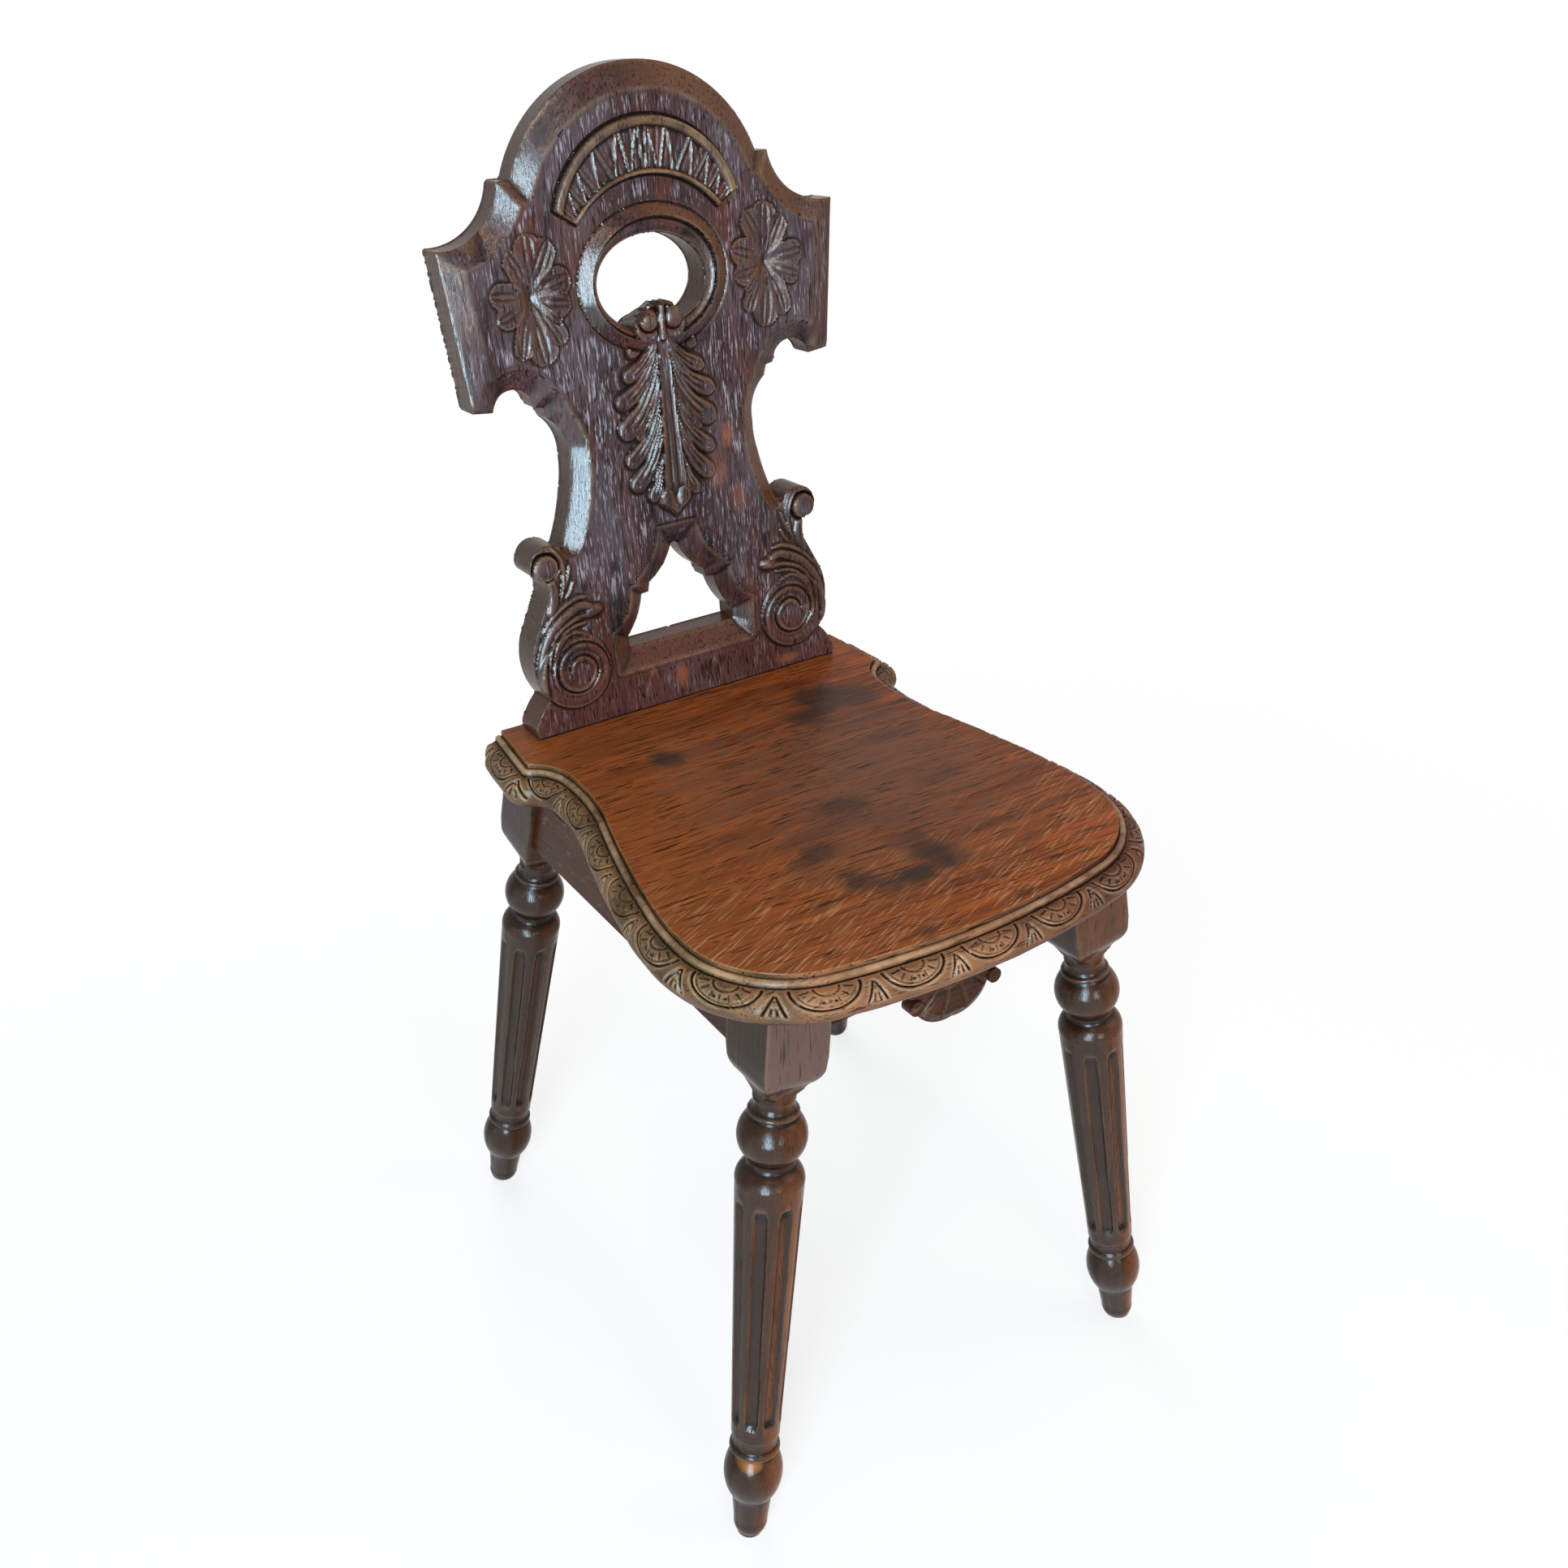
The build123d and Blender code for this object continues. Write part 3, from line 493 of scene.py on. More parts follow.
def leaf_height(px, py, height):
    """Long leaf below the ring, its hollow stem and its three-lobed end."""
    inside_ring = np.hypot(px, py - RING_MIDDLE[1]) < oval_reach(px, py, RING_OUTER)
    body, _, _ = nearest(px, py, closed(np.array(LEAF_BODY, float)))
    leaf = np.where(body > 0, 1.6 * smooth(0, 2.0, body), NO_CARVING)
    for rank, (start, lean, tip, width) in enumerate(LEAF_LOBES):
        made = lobe(px, py, bend(start, lean, tip), width)
        leaf = np.maximum(leaf, made + 0.05 * rank)
    leaf[inside_ring & (px > 3.5 + 0.9 * (STEM_ENDS[1] - py))] = NO_CARVING
    end, _, _ = nearest(px, py, closed(np.array(LEAF_END, float)))
    end_rise = 1.4 + 3.0 * smooth(-0.5, 3.2, end) - 2.4 * line_cut(px, 3.2) * smooth(142, 152, py)
    leaf = np.maximum(leaf, np.where(end > 0, end_rise, NO_CARVING))
    stem_half = np.interp(py, [149, 158, 200, 262], [8.8, 8.6, 5.8, 3.2])
    across = px / stem_half
    stem = 5.6 - 3.0 * (1 - across) + 1.9 * line_cut(px, 1.7)
    on_stem = (py > STEM_ENDS[0]) & (py < STEM_ENDS[1]) & (across < 1)
    stem = np.where(on_stem, stem * smooth(144, 162, py), NO_CARVING)
    leaf = np.maximum(leaf, stem)
    return np.where(leaf > CARVED, np.maximum(height, leaf), height)


def clasp_height(px, py, height):
    """Clasp that holds the leaf to the ring: two rolls, with a rib between them."""
    inside, _, _ = nearest(px, py, closed(trace((0, 258), CLASP)))
    roll = np.hypot(px - CLASP_ROLL[0], py - CLASP_ROLL[1])
    base = 3.0 + 1.6 * smooth(0, 1.4, inside) + 1.6 * line_cut(inside - 1.8, 1.2) * (py > 274)
    base -= 1.6 * line_cut(roll - 7.5, 0.8)
    face = 5.0 + 2.8 * np.sqrt(np.clip(1 - (roll / 7.0) ** 2, 0, 1))
    over = np.where(roll < 6.9, face, base)
    rib = np.where(np.abs(px) < 2.5, 7.4 - 0.25 * px**2, NO_CARVING) * smooth(283.6, 280.5, py)
    over = np.maximum(over, np.where(px < 2.5, rib, NO_CARVING))
    over -= 1.4 * line_cut(px - 2.9, 0.5)
    return np.where((inside > 0) & (py > 258), np.maximum(height, over), height)


def flower_height(px, py, height):
    """Flower of merged hollow petals on the wing, as deep as a cup in the middle."""
    cx, cy = FLOWER_MIDDLE
    dx, dy = px - cx, py - cy
    flower = np.full(px.shape, NO_CARVING)
    near = np.hypot(dx / 36, dy / 48) < 1
    x, y = px[near], py[near]
    cup = -5.2 + 6.2 * (1 - np.exp(-np.hypot(dx[near] / 9.0, dy[near] / 17.0)))
    whole = np.full(x.shape, NO_CARVING)
    for (tx, ty), bow, width in FLOWER_PETALS:
        length = math.hypot(tx, ty)
        pull = (cx + tx * 0.55 - ty / length * bow, cy + ty * 0.55 + tx / length * bow)
        share, side = along(x, y, bend((cx, cy), pull, (cx + tx, cy + ty)))
        rest = np.clip((1 - share) * length / width * 1.1, 0, 1)
        reach = np.maximum(width * np.clip(0.4 + 1.2 * share, 0, 1) * np.sqrt(1 - (1 - rest) ** 2), 0.4)
        across = np.abs(side) / reach
        rib = 0.8 * line_cut(across, 0.13) * smooth(0.3, 0.5, share)
        rib += 0.5 * line_cut(across - 0.5, 0.1) * smooth(0.4, 0.6, share)
        made = cup + 1.7 * across**1.6 * smooth(0.0, 0.3, share) + rib - 0.5 * smooth(0.75, 1.0, share)
        made[across > 1] = NO_CARVING
        merged = np.minimum(whole, made) + 0.15
        both = (whole > CARVED) & (made > CARVED)
        whole = np.where(both, merged, np.maximum(whole, made))
    flower[near] = whole
    return np.where(flower > CARVED, flower, height)


def scroll_height(px, py, height):
    """Volute with its spiral, the leaf that wraps over it and the button at the curl's tip."""
    dx, dy = px - VOLUTE_MIDDLE[0], py - VOLUTE_MIDDLE[1]
    radius = np.hypot(dx, dy)
    turns = np.arctan2(dy, dx) / (2 * np.pi) % 1
    quarters = np.arange(9) / 4
    edge = np.interp(turns, [0, 0.2, 0.42, 0.6, 0.8, 1], [30, 30, 25, 25.5, 27.5, 30])
    on_volute = (radius < edge) & (py > 15.5)
    volute = 1.7 + 1.6 * np.sqrt(np.clip(1 - (radius / 32.0) ** 2, 0, 1))
    for turn in (0, 1):
        line = np.interp(turns + turn, quarters, VOLUTE_RADII)
        gap = radius - line
        fade = smooth(0.62, 0.5, turns) if turn else smooth(0.0, 0.06, turns)
        volute -= 2.3 * line_cut(gap, 0.9) * fade
        volute += 0.9 * line_cut(gap + 2.0, 1.6) * fade
        volute -= 0.7 * line_cut(gap - 3.0, 2.2) * fade
    volute *= 1 - 0.75 * smooth(0.14, 0.26, turns) * smooth(0.44, 0.34, turns) * smooth(21, 25, radius)
    volute = np.maximum(volute * smooth(-0.2, 1.0, edge - radius), 0)
    height = np.where(on_volute, np.maximum(height, 0) + volute, height)
    near = (px > 50) & (py > 15) & (py < 145)
    x, y = px[near], py[near]
    over = np.full(x.shape, 0.0)
    for points, width, rise in SCROLL_STRANDS:
        over = np.maximum(over, strand(x, y, points, width, rise))
    bulb = np.hypot((x - 71.5) / 6.5, (y - 85.0) / 4.2)
    over = np.maximum(over, 3.0 * np.clip(1 - bulb**2, 0, 1) ** 0.5)
    height[near] = height[near] + over
    button = np.hypot(px - BUTTON_MIDDLE[0], py - BUTTON_MIDDLE[1])
    cap = 2.4 + 2.4 * np.sqrt(np.clip(1 - (button / 9.4) ** 2, 0, 1))
    curl = smooth(9.6, 11.5, button) * smooth(17, 12.5, button) * smooth(114, 124, py)
    height = height + 1.7 * curl
    height = np.where(button < 9.0, np.maximum(height, cap), height)
    return height - 1.6 * line_cut(button - 9.8, 0.8) * (button > 9)


def carved_height(px, py, fields):
    """Height of the carved face over the board's plane at points of the right half."""
    height = np.zeros(px.shape)
    wing = smooth(*WING_ACROSS, px) * smooth(*WING_FOOT, py) * smooth(*WING_TOP, py)
    deep = CHAMFER_DEPTH * (1 - WING_SHALLOW * wing)
    for foot, top, turn in (("outer", "inner", 1), ("piercing", "piercing_face", -1)):
        edge = np.clip(turn * fields[foot][0], 0, None)
        down = np.clip(-turn * fields[top][0], 0, None)
        height -= deep * np.where(down > 1e-4, down / (down + edge + 1e-6), 0)
    flat = height > -1e-3
    quirk = 0.7 * np.exp(-(((-fields["piercing_face"][0] - 2.2) / 0.8) ** 2))
    height -= quirk * flat
    height = ring_height(px, py, height)
    height = fan_height(px, py, height)
    height = leaf_height(px, py, height)
    height = clasp_height(px, py, height)
    height = flower_height(px, py, height)
    return scroll_height(px, py, height)


def is_carved(x, y):
    """Where the board's surface needs closer points."""
    radius = math.hypot(x / RING_OUTER[0], (y - RING_MIDDLE[1]) / RING_OUTER[1])
    in_top = math.hypot(x, y - FAN_TOP[0]) < FAN_TOP[1] + 2.4
    on_fan = in_top and math.hypot(x, y - FAN_LOW[0]) > FAN_LOW[1] - 2 and y > 334
    on_leaf = x < 43 and 134 < y < 264
    on_flower = math.hypot((x - FLOWER_MIDDLE[0]) / 34, (y - FLOWER_MIDDLE[1]) / 45) < 1
    on_scroll = math.hypot(x - 88, y - 46) < 35 or (math.hypot(x - 94, y - 112) < 35 and y > 75)
    return 0.6 < radius < 1.04 or on_fan or on_leaf or on_flower or on_scroll


def even_border(bm, pinned):
    """Draw the sheet's border onto the outlines, at even steps between the pinned corners."""
    border = [v for v in bm.verts if v.is_boundary and v.co.x > 0.01 and v.co.y > 0.01]
    moving = [v for v in border if v not in pinned]
    for _ in range(4):
        ends = []
        for v in moving:
            beside = [e.other_vert(v).co for e in v.link_edges if e.is_boundary]
            ends.append(0.5 * v.co + 0.5 * sum(beside, Vector()) / len(beside))
        co = np.array(ends)
        fields = board_fields(co[:, 0], co[:, 1])
        gaps = np.array([np.abs(fields[name][0]) for name in BORDERS])
        for place, (v, rank) in enumerate(zip(moving, gaps.argmin(0))):
            _, foot_x, foot_y = fields[BORDERS[rank]]
            v.co = (foot_x[place], foot_y[place], 0)


def half_board(cell):
    """Right half of the board's front as a sheet, fitted to every outline and carved."""
    columns, rows = round(BOARD_HALF / cell), round(BOARD_HEIGHT / cell)
    bm = bmesh.new()
    bmesh.ops.create_grid(bm, x_segments=columns, y_segments=rows, size=0.5)
    bmesh.ops.translate(bm, vec=(0.5, 0.5, 0), verts=bm.verts)
    bmesh.ops.scale(bm, vec=(columns * cell, rows * cell, 1), verts=bm.verts)
    carved = [f for f in bm.faces if is_carved(*f.calc_center_median()[:2])]
    edges = list({e for f in carved for e in f.edges})
    bmesh.ops.subdivide_edges(bm, edges=edges, cuts=1, use_grid_fill=True)

    bm.verts.index_update()
    co = np.array([v.co for v in bm.verts])
    px, py = co[:, 0], co[:, 1]
    fields = board_fields(px, py)
    on_line = np.zeros(len(co), bool)
    fixed = np.zeros(len(co), bool)
    for start, moves in OUTLINES.values():
        for corner in corners_of(start, moves):
            if corner[1] < 0:
                continue
            gap = np.hypot(px - corner[0], py - corner[1]) + 99 * fixed
            place = int(gap.argmin())
            co[place, :2] = corner
            fixed[place] = on_line[place] = True
    close = np.full(len(co), cell * 0.5)
    for v in bm.verts:
        close[v.index] = 0.52 * min(max(e.calc_length() for e in v.link_edges), cell)
    bm.verts.ensure_lookup_table()
    pinned = {bm.verts[place] for place in np.flatnonzero(fixed)}
    in_plane = px > 0.01
    for name in (*BORDERS, "inner", "piercing_face"):
        distance, foot_x, foot_y = fields[name]
        take = (np.abs(distance) < close) & ~fixed
        co[take & in_plane, 0] = foot_x[take & in_plane]
        above = take & (py > 0.01)
        co[above, 1] = foot_y[above]
        fixed |= take
        on_line |= take
    for size in (RING_OUTER, RING_RIDGE):
        gap = oval_reach(px, py, size) - np.hypot(px, py - RING_MIDDLE[1])
        take = (np.abs(gap) < close) & ~fixed & (fields["hole"][0] < 0)
        away = np.hypot(px, py - RING_MIDDLE[1])
        co[take, 0] += gap[take] * px[take] / away[take]
        co[take, 1] += gap[take] * (py[take] - RING_MIDDLE[1]) / away[take]
        fixed |= take
        on_line |= take
    for v in bm.verts:
        v.co = co[v.index]
    for face in list(bm.faces):
        corners = face.verts
        if len(corners) != 4:
            continue
        flags = [on_line[v.index] for v in corners]
        if flags[0] and flags[2] and not (flags[1] and flags[3]):
            bmesh.utils.face_split(face, corners[0], corners[2])
        elif flags[1] and flags[3] and not (flags[0] and flags[2]):
            bmesh.utils.face_split(face, corners[1], corners[3])

    faces = list(bm.faces)
    middles = np.array([f.calc_center_median() for f in faces])
    at = board_fields(middles[:, 0], middles[:, 1])
    outside = (at["outer"][0] < 0) | (at["piercing"][0] > 0) | (at["hole"][0] > 0)
    gone = [f for f, out in zip(faces, outside) if out]
    bmesh.ops.delete(bm, geom=gone, context="FACES")
    even_border(bm, pinned)
    co = np.array([v.co for v in bm.verts])
    fields = board_fields(co[:, 0], co[:, 1])
    co[:, 2] = carved_height(co[:, 0], co[:, 1], fields)
    for v in bm.verts:
        v.co = co[v.index]
    return bm


def fill(bm, edges, normal):
    """Faces across a flat loop of edges."""
    made = bmesh.ops.triangle_fill(bm, use_beauty=True, edges=edges, normal=normal)["geom"]
    return [g for g in made if isinstance(g, bmesh.types.BMFace)]


def rim_directions(bm):
    """For each vertex on the sheet's border, the direction in the plane towards the sheet."""
    found = {}
    for v in {v for e in bm.edges if e.is_boundary for v in e.verts}:
        ends = [e.other_vert(v).co for e in v.link_edges if e.is_boundary]
        if len(ends) != 2:
            continue
        run = (ends[0] - ends[1]).normalized()
        inward = Vector((-run.y, run.x, 0))
        middle = sum((f.calc_center_median() for f in v.link_faces), Vector()) / len(v.link_faces)
        if inward.dot(middle - v.co) < 0:
            inward.negate()
        found[v] = inward.normalized() if inward.length > 1e-9 else Vector()
    return found


def by_clasp(x, y):
    """Whether points of the back's rear lie where the clasp is cut lower."""
    return (np.abs(x) < CLASP_HALF) & (y > CLASP_FOOT) & (y < CLASP_HEAD)


def whole_back(cell, arris):
    """The carved board with its rubbed arrises, its sawn walls, its rear and its two tenons."""
    bm = half_board(cell)
    bmesh.ops.mirror(bm, geom=bm.verts[:] + bm.edges[:] + bm.faces[:], merge_dist=0.02, axis="X")
    bmesh.ops.remove_doubles(bm, verts=bm.verts, dist=0.02)
    for v in bm.verts:
        v.co.z += float(0.16 * wavering(v.co.x + 40, v.co.y, 11.0) * smooth(-9, 2, v.co.z))
    foot_back = BACK_THICK * math.tan(BACK_TILT)
    for step in ("arris", "wall", "rear_arris"):
        inward = rim_directions(bm)
        if step == "arris":
            for v, direction in inward.items():
                if v.co.y > 0.01:
                    v.co += direction * arris
        border = [e for e in bm.edges if e.is_boundary]
        made = bmesh.ops.extrude_edge_only(bm, edges=border)["geom"]
        fresh = [g for g in made if isinstance(g, bmesh.types.BMVert)]
        near = {}
        for v in fresh:
            for e in v.link_edges:
                if e.other_vert(v) in inward:
                    near[v] = inward[e.other_vert(v)]
        for v in fresh:
            standing = v.co.y < foot_back + 0.01 and v.co.y < 3.0 and abs(v.co.x) < FOOT_HALF
            on_foot = standing and (v.co.y < 0.01 or step != "arris")
            if step == "arris":
                if not on_foot:
                    v.co -= near.get(v, Vector()) * arris
                    v.co.z -= arris
            elif step == "wall":
                v.co.z = -BACK_THICK + arris
                if v.co.y < 0.01:
                    v.co.y = (BACK_THICK - arris) * math.tan(BACK_TILT)
                if by_clasp(v.co.x, v.co.y):
                    v.co.y = CLASP_FOOT + (v.co.y - CLASP_FOOT) * CLASP_REAR
            else:
                if v.co.y < foot_back + 0.01:
                    v.co.y = foot_back
                else:
                    v.co += near.get(v, Vector()) * arris
                v.co.z = -BACK_THICK
    border = [e for e in bm.edges if e.is_boundary]
    cap = fill(bm, border, (0, 0, -1))
    centres = np.array([f.calc_center_median() for f in cap])
    cx, cy = centres[:, 0], centres[:, 1]
    raised = np.where(by_clasp(cx, cy), CLASP_FOOT + (cy - CLASP_FOOT) / CLASP_REAR, cy)
    openings = board_fields(np.abs(cx), raised)
    over = (openings["piercing"][0] > 0) | (openings["hole"][0] > 0)
    bmesh.ops.delete(bm, geom=[f for f, out in zip(cap, over) if out], context="FACES_ONLY")
    middle, width, behind, thick = MORTISE
    reach = (SEAT_TOP - UNDERSIDE) / math.cos(BACK_TILT)
    for side in (-1, 1):
        tenon = bmesh.ops.create_cube(bm, size=1.0)["verts"]
        for v in tenon:
            v.co.x = side * middle + v.co.x * (width - 0.4)
            v.co.z = -behind - thick / 2 + v.co.z * (thick - 0.4)
            lean = -v.co.z * math.tan(BACK_TILT)
            v.co.y = 6.0 if v.co.y > 0 else -reach + lean + 0.3
    bmesh.ops.recalc_face_normals(bm, faces=bm.faces)
    place = Matrix.Translation((0, MIDDLE_TO_BACK * MM, SEAT_TOP * MM))
    lean = Matrix.Rotation(math.radians(90) - BACK_TILT, 4, "X")
    bmesh.ops.transform(bm, matrix=place @ lean @ Matrix.Scale(MM, 4), verts=bm.verts)
    return bm


# Seat

def edge_stations(spacing):
    """Places and outward directions along the right half of the flat's edge."""
    stations = []
    place, heading, done = np.array([0.0, SEAT_FRONT]), 0.0, 0.0
    for radius, turn in SEAT_ARCS:
        signed = math.radians(turn) * (1 if radius > 0 else -1)
        length = abs(radius) * math.radians(turn)
        steps = max(int((length + abs(signed) * 9) / spacing), 2)
        normal = heading - math.pi / 2
        middle = place - radius * np.array([math.cos(normal), math.sin(normal)])
        for step in range(steps):
            angle = normal + signed * step / steps
            at = middle + radius * np.array([math.cos(angle), math.sin(angle)])
            stations.append((*at, angle, done + length * step / steps))
        heading += signed
        end = heading - math.pi / 2
        place = middle + radius * np.array([math.cos(end), math.sin(end)])
        done += length
    ear = math.atan2(EAR_REAR[1] - place[1], EAR_REAR[0] - place[0])
    swept = RIM_REACH / 2 * (ear - heading)
    fan = max(int((ear - heading) * RIM_REACH / spacing), 2)
    for step in range(fan):
        share = step / fan
        angle = heading - math.pi / 2 + (ear - heading) * share
        stations.append((*place, angle, done + swept * share))
    done += swept
    length = math.hypot(EAR_REAR[0] - place[0], EAR_REAR[1] - place[1])
    steps = int(length / spacing)
    for step in range(steps + 1):
        at = place + (np.array(EAR_REAR) - place) * step / steps
        stations.append((*at, ear - math.pi / 2, done + length * step / steps))
    return np.array(stations)


def lunette_depth(run, down, pitch):
    """Depth of the gouge cuts on the half-round, by distance along it and down from its top."""
    cell = np.abs((run / pitch + 0.5) % 1 - 0.5) * pitch
    half = pitch / 2
    wide, deep, top = 0.37 * pitch, 15.5, 1.2
    lower = down - top
    open_above = smooth(-0.3, 0.8, lower)
    size = (wide + deep) / 2
    reach = np.hypot(cell / wide, lower / deep)
    cut = 1.1 * line_cut((reach - 1.0) * size, 0.75) * open_above
    cut += 0.5 * line_cut((reach - 0.86) * size, 0.6) * open_above * smooth(0.1, 0.5, lower / deep)
    heart = np.hypot(cell / (wide * 0.36), lower / (deep * 0.42))
    cut += 0.55 * line_cut((heart - 1.0) * size * 0.38, 0.55) * open_above
    turn = np.degrees(np.arctan2(cell, lower)) + 10 * (reach - 0.6)
    spoke = ((turn + 13) % 26 - 13) * np.radians(reach * size)
    inside = smooth(1.25, 1.45, heart) * smooth(0.84, 0.74, reach) * open_above
    cut += 0.55 * line_cut(spoke, 0.55) * inside
    aside = half - cell
    arms = aside - (down - 4.5) * 0.40
    cut += 1.2 * line_cut(arms, 0.65) * smooth(4.2, 5.4, down) * smooth(20.0, 17.5, down)
    vein = aside - 1.0 - (down - 13) * 0.16
    cut += 0.8 * line_cut(vein, 0.6) * smooth(12.5, 13.5, down) * smooth(19, 17.5, down)
    cut += 0.9 * line_cut(np.hypot(aside, down - 8.8), 0.9)
    dots = np.hypot(cell - 3.0, down - 11.5)
    cut += 1.0 * line_cut(dots, 0.8)
    return cut * smooth(0.5, 1.4, down) * smooth(23.0, 21.0, down)


def in_mortise(x, y, z):
    """Whether a point of the seat's top or underside lies over a mortise."""
    middle, width, behind, thick = MORTISE
    near = behind / math.cos(BACK_TILT) + (z - SEAT_TOP) * math.tan(BACK_TILT)
    return abs(abs(x) - middle) < width / 2 and near < y < near + thick / math.cos(BACK_TILT)


def whole_seat(spacing, pitch, depth):
    """Both seat boards in one closed shell, before they are parted at the joint."""
    right = edge_stations(spacing)
    left = right[:0:-1].copy()
    left[:, 0] *= -1
    left[:, 2] = math.pi - left[:, 2]
    left[:, 3] *= -1
    stations = np.concatenate([left, right])
    section = trace((-0.6, 445.0), RIM_SECTION, 0.85, 0.7)
    steps = np.hypot(*np.diff(section, axis=0).T)
    run = np.concatenate([[0], np.cumsum(steps)])
    start = np.interp(HALF_ROUND_START, section[:OUTWARD_POINTS, 0], run[:OUTWARD_POINTS])
    down = run - start
    tangent = np.gradient(section, axis=0)
    tangent /= np.hypot(*tangent.T)[:, None]
    normal = np.stack([-tangent[:, 1], tangent[:, 0]], 1)

    rows, columns = len(section), len(stations)
    bm = bmesh.new()
    bmesh.ops.create_grid(bm, x_segments=columns - 1, y_segments=rows - 1, size=0.5)
    bm.verts.ensure_lookup_table()
    co = np.array([v.co for v in bm.verts])
    column = np.rint((co[:, 0] + 0.5) * (columns - 1)).astype(int)
    row = np.rint((co[:, 1] + 0.5) * (rows - 1)).astype(int)
    at = stations[column]
    cut = depth * lunette_depth(at[:, 3], down[row], pitch)
    uneven = 0.5 + 0.5 * wavering(at[:, 3], down[row] * 2, 5.0)
    cut += 0.35 * uneven * smooth(0.5, 3, down[row])
    out = section[row, 0] - normal[row, 0] * cut
    up = section[row, 1] - normal[row, 1] * cut
    past = np.clip(out - (RIM_REACH - EAR_ROUND), 0, None)
    x = at[:, 0] + out * np.cos(at[:, 2])
    y = at[:, 1] + out * np.sin(at[:, 2])
    rear = np.clip(y - (SEAT_REAR - EAR_ROUND), 0, None)
    pull = np.maximum(past, rear) / np.maximum(np.hypot(past, rear), 1e-6)
    turned = (past > 0) & (rear > 0) & (np.abs(at[:, 0]) > 100)
    out = np.where(turned, (RIM_REACH - EAR_ROUND) + past * pull, out)
    x = np.where(turned, at[:, 0] + out * np.cos(at[:, 2]), x)
    y = np.where(turned, (SEAT_REAR - EAR_ROUND) + rear * pull, np.minimum(y, SEAT_REAR))
    for v, *point in zip(bm.verts, x, y, up):
        v.co = point
    top = [v for v, r in zip(bm.verts, row) if r == 0]
    foot = [v for v, r in zip(bm.verts, row) if r == rows - 1]
    ends = [[v for v, r in zip(bm.verts, column) if r == c] for c in (0, columns - 1)]
    corners = [set(end) & set(side) for side in (top, foot) for end in ends]
    top_rear = bm.edges.new([corners[0].pop(), corners[1].pop()])
    foot_rear = bm.edges.new([corners[2].pop(), corners[3].pop()])
    open_edges = [e for e in bm.edges if e.is_boundary]
    top_set, foot_set = set(top), set(foot)
    top_edges = [e for e in open_edges if set(e.verts) <= top_set]
    foot_edges = [e for e in open_edges if set(e.verts) <= foot_set]
    end_edges = [e for e in open_edges if e not in top_edges and e not in foot_edges]
    loops = {}
    middle, width, behind, thick = MORTISE
    for side in (-1, 1):
        for height, holder in ((SEAT_TOP, top_edges), (UNDERSIDE, foot_edges)):
            shift = (height - SEAT_TOP) * math.tan(BACK_TILT)
            points = []
            for ax, ay in ((-1, 0), (1, 0), (1, 1), (-1, 1)):
                points.append(bm.verts.new((
                    side * middle + ax * width / 2,
                    (behind + ay * thick) / math.cos(BACK_TILT) + shift,
                    height,
                )))
            edges = [bm.edges.new((points[i], points[(i + 1) % 4])) for i in range(4)]
            loops[side, height] = edges
            holder += edges
    for edges, up in ((top_edges + [top_rear], 1), (foot_edges + [foot_rear], -1)):
        made = fill(bm, edges, (0, 0, up))
        covers = [f for f in made if in_mortise(*f.calc_center_median())]
        bmesh.ops.delete(bm, geom=covers, context="FACES_ONLY")
    fill(bm, end_edges + [top_rear, foot_rear], (0, 1, 0))
    for side in (-1, 1):
        bmesh.ops.bridge_loops(bm, edges=loops[side, SEAT_TOP] + loops[side, UNDERSIDE])
    bmesh.ops.remove_doubles(bm, verts=bm.verts, dist=0.01)
    bmesh.ops.recalc_face_normals(bm, faces=bm.faces)
    return bm


def seat_half(whole, front):
    """The part of the seat before or behind the glue joint, closed at the joint."""
    bm = whole.copy()
    geometry = bm.verts[:] + bm.edges[:] + bm.faces[:]
    cut = bmesh.ops.bisect_plane(
        bm, geom=geometry, plane_co=(0, BOARD_JOINT, 0), plane_no=(0, 1, 0),
        clear_outer=front, clear_inner=not front,
    )["geom_cut"]
    edges = [g for g in cut if isinstance(g, bmesh.types.BMEdge)]
    fill(bm, edges, (0, 1 if front else -1, 0))
    bmesh.ops.remove_doubles(bm, verts=bm.verts, dist=0.005)
    bmesh.ops.recalc_face_normals(bm, faces=bm.faces)
    place = Matrix.Translation((0, MIDDLE_TO_BACK * MM, 0)) @ Matrix.Scale(MM, 4)
    bmesh.ops.transform(bm, matrix=place, verts=bm.verts)
    return bm


# Legs

def leg_place(leg, side):
    """The matrix that stands an upright leg on its foot and leans it to the seat."""
    top = Vector((side * leg[0][0], leg[0][1] + MIDDLE_TO_BACK, UNDERSIDE))
    foot = Vector((side * leg[1][0], leg[1][1] + MIDDLE_TO_BACK, 0))
    axis = (top - foot).normalized()
    across = (Vector((1, 0, 0)) - axis * axis.x).normalized()
    third = axis.cross(across)
    turn = Matrix((across, third, axis)).transposed().to_4x4()
    return Matrix.Scale(MM, 4) @ Matrix.Translation(foot) @ turn


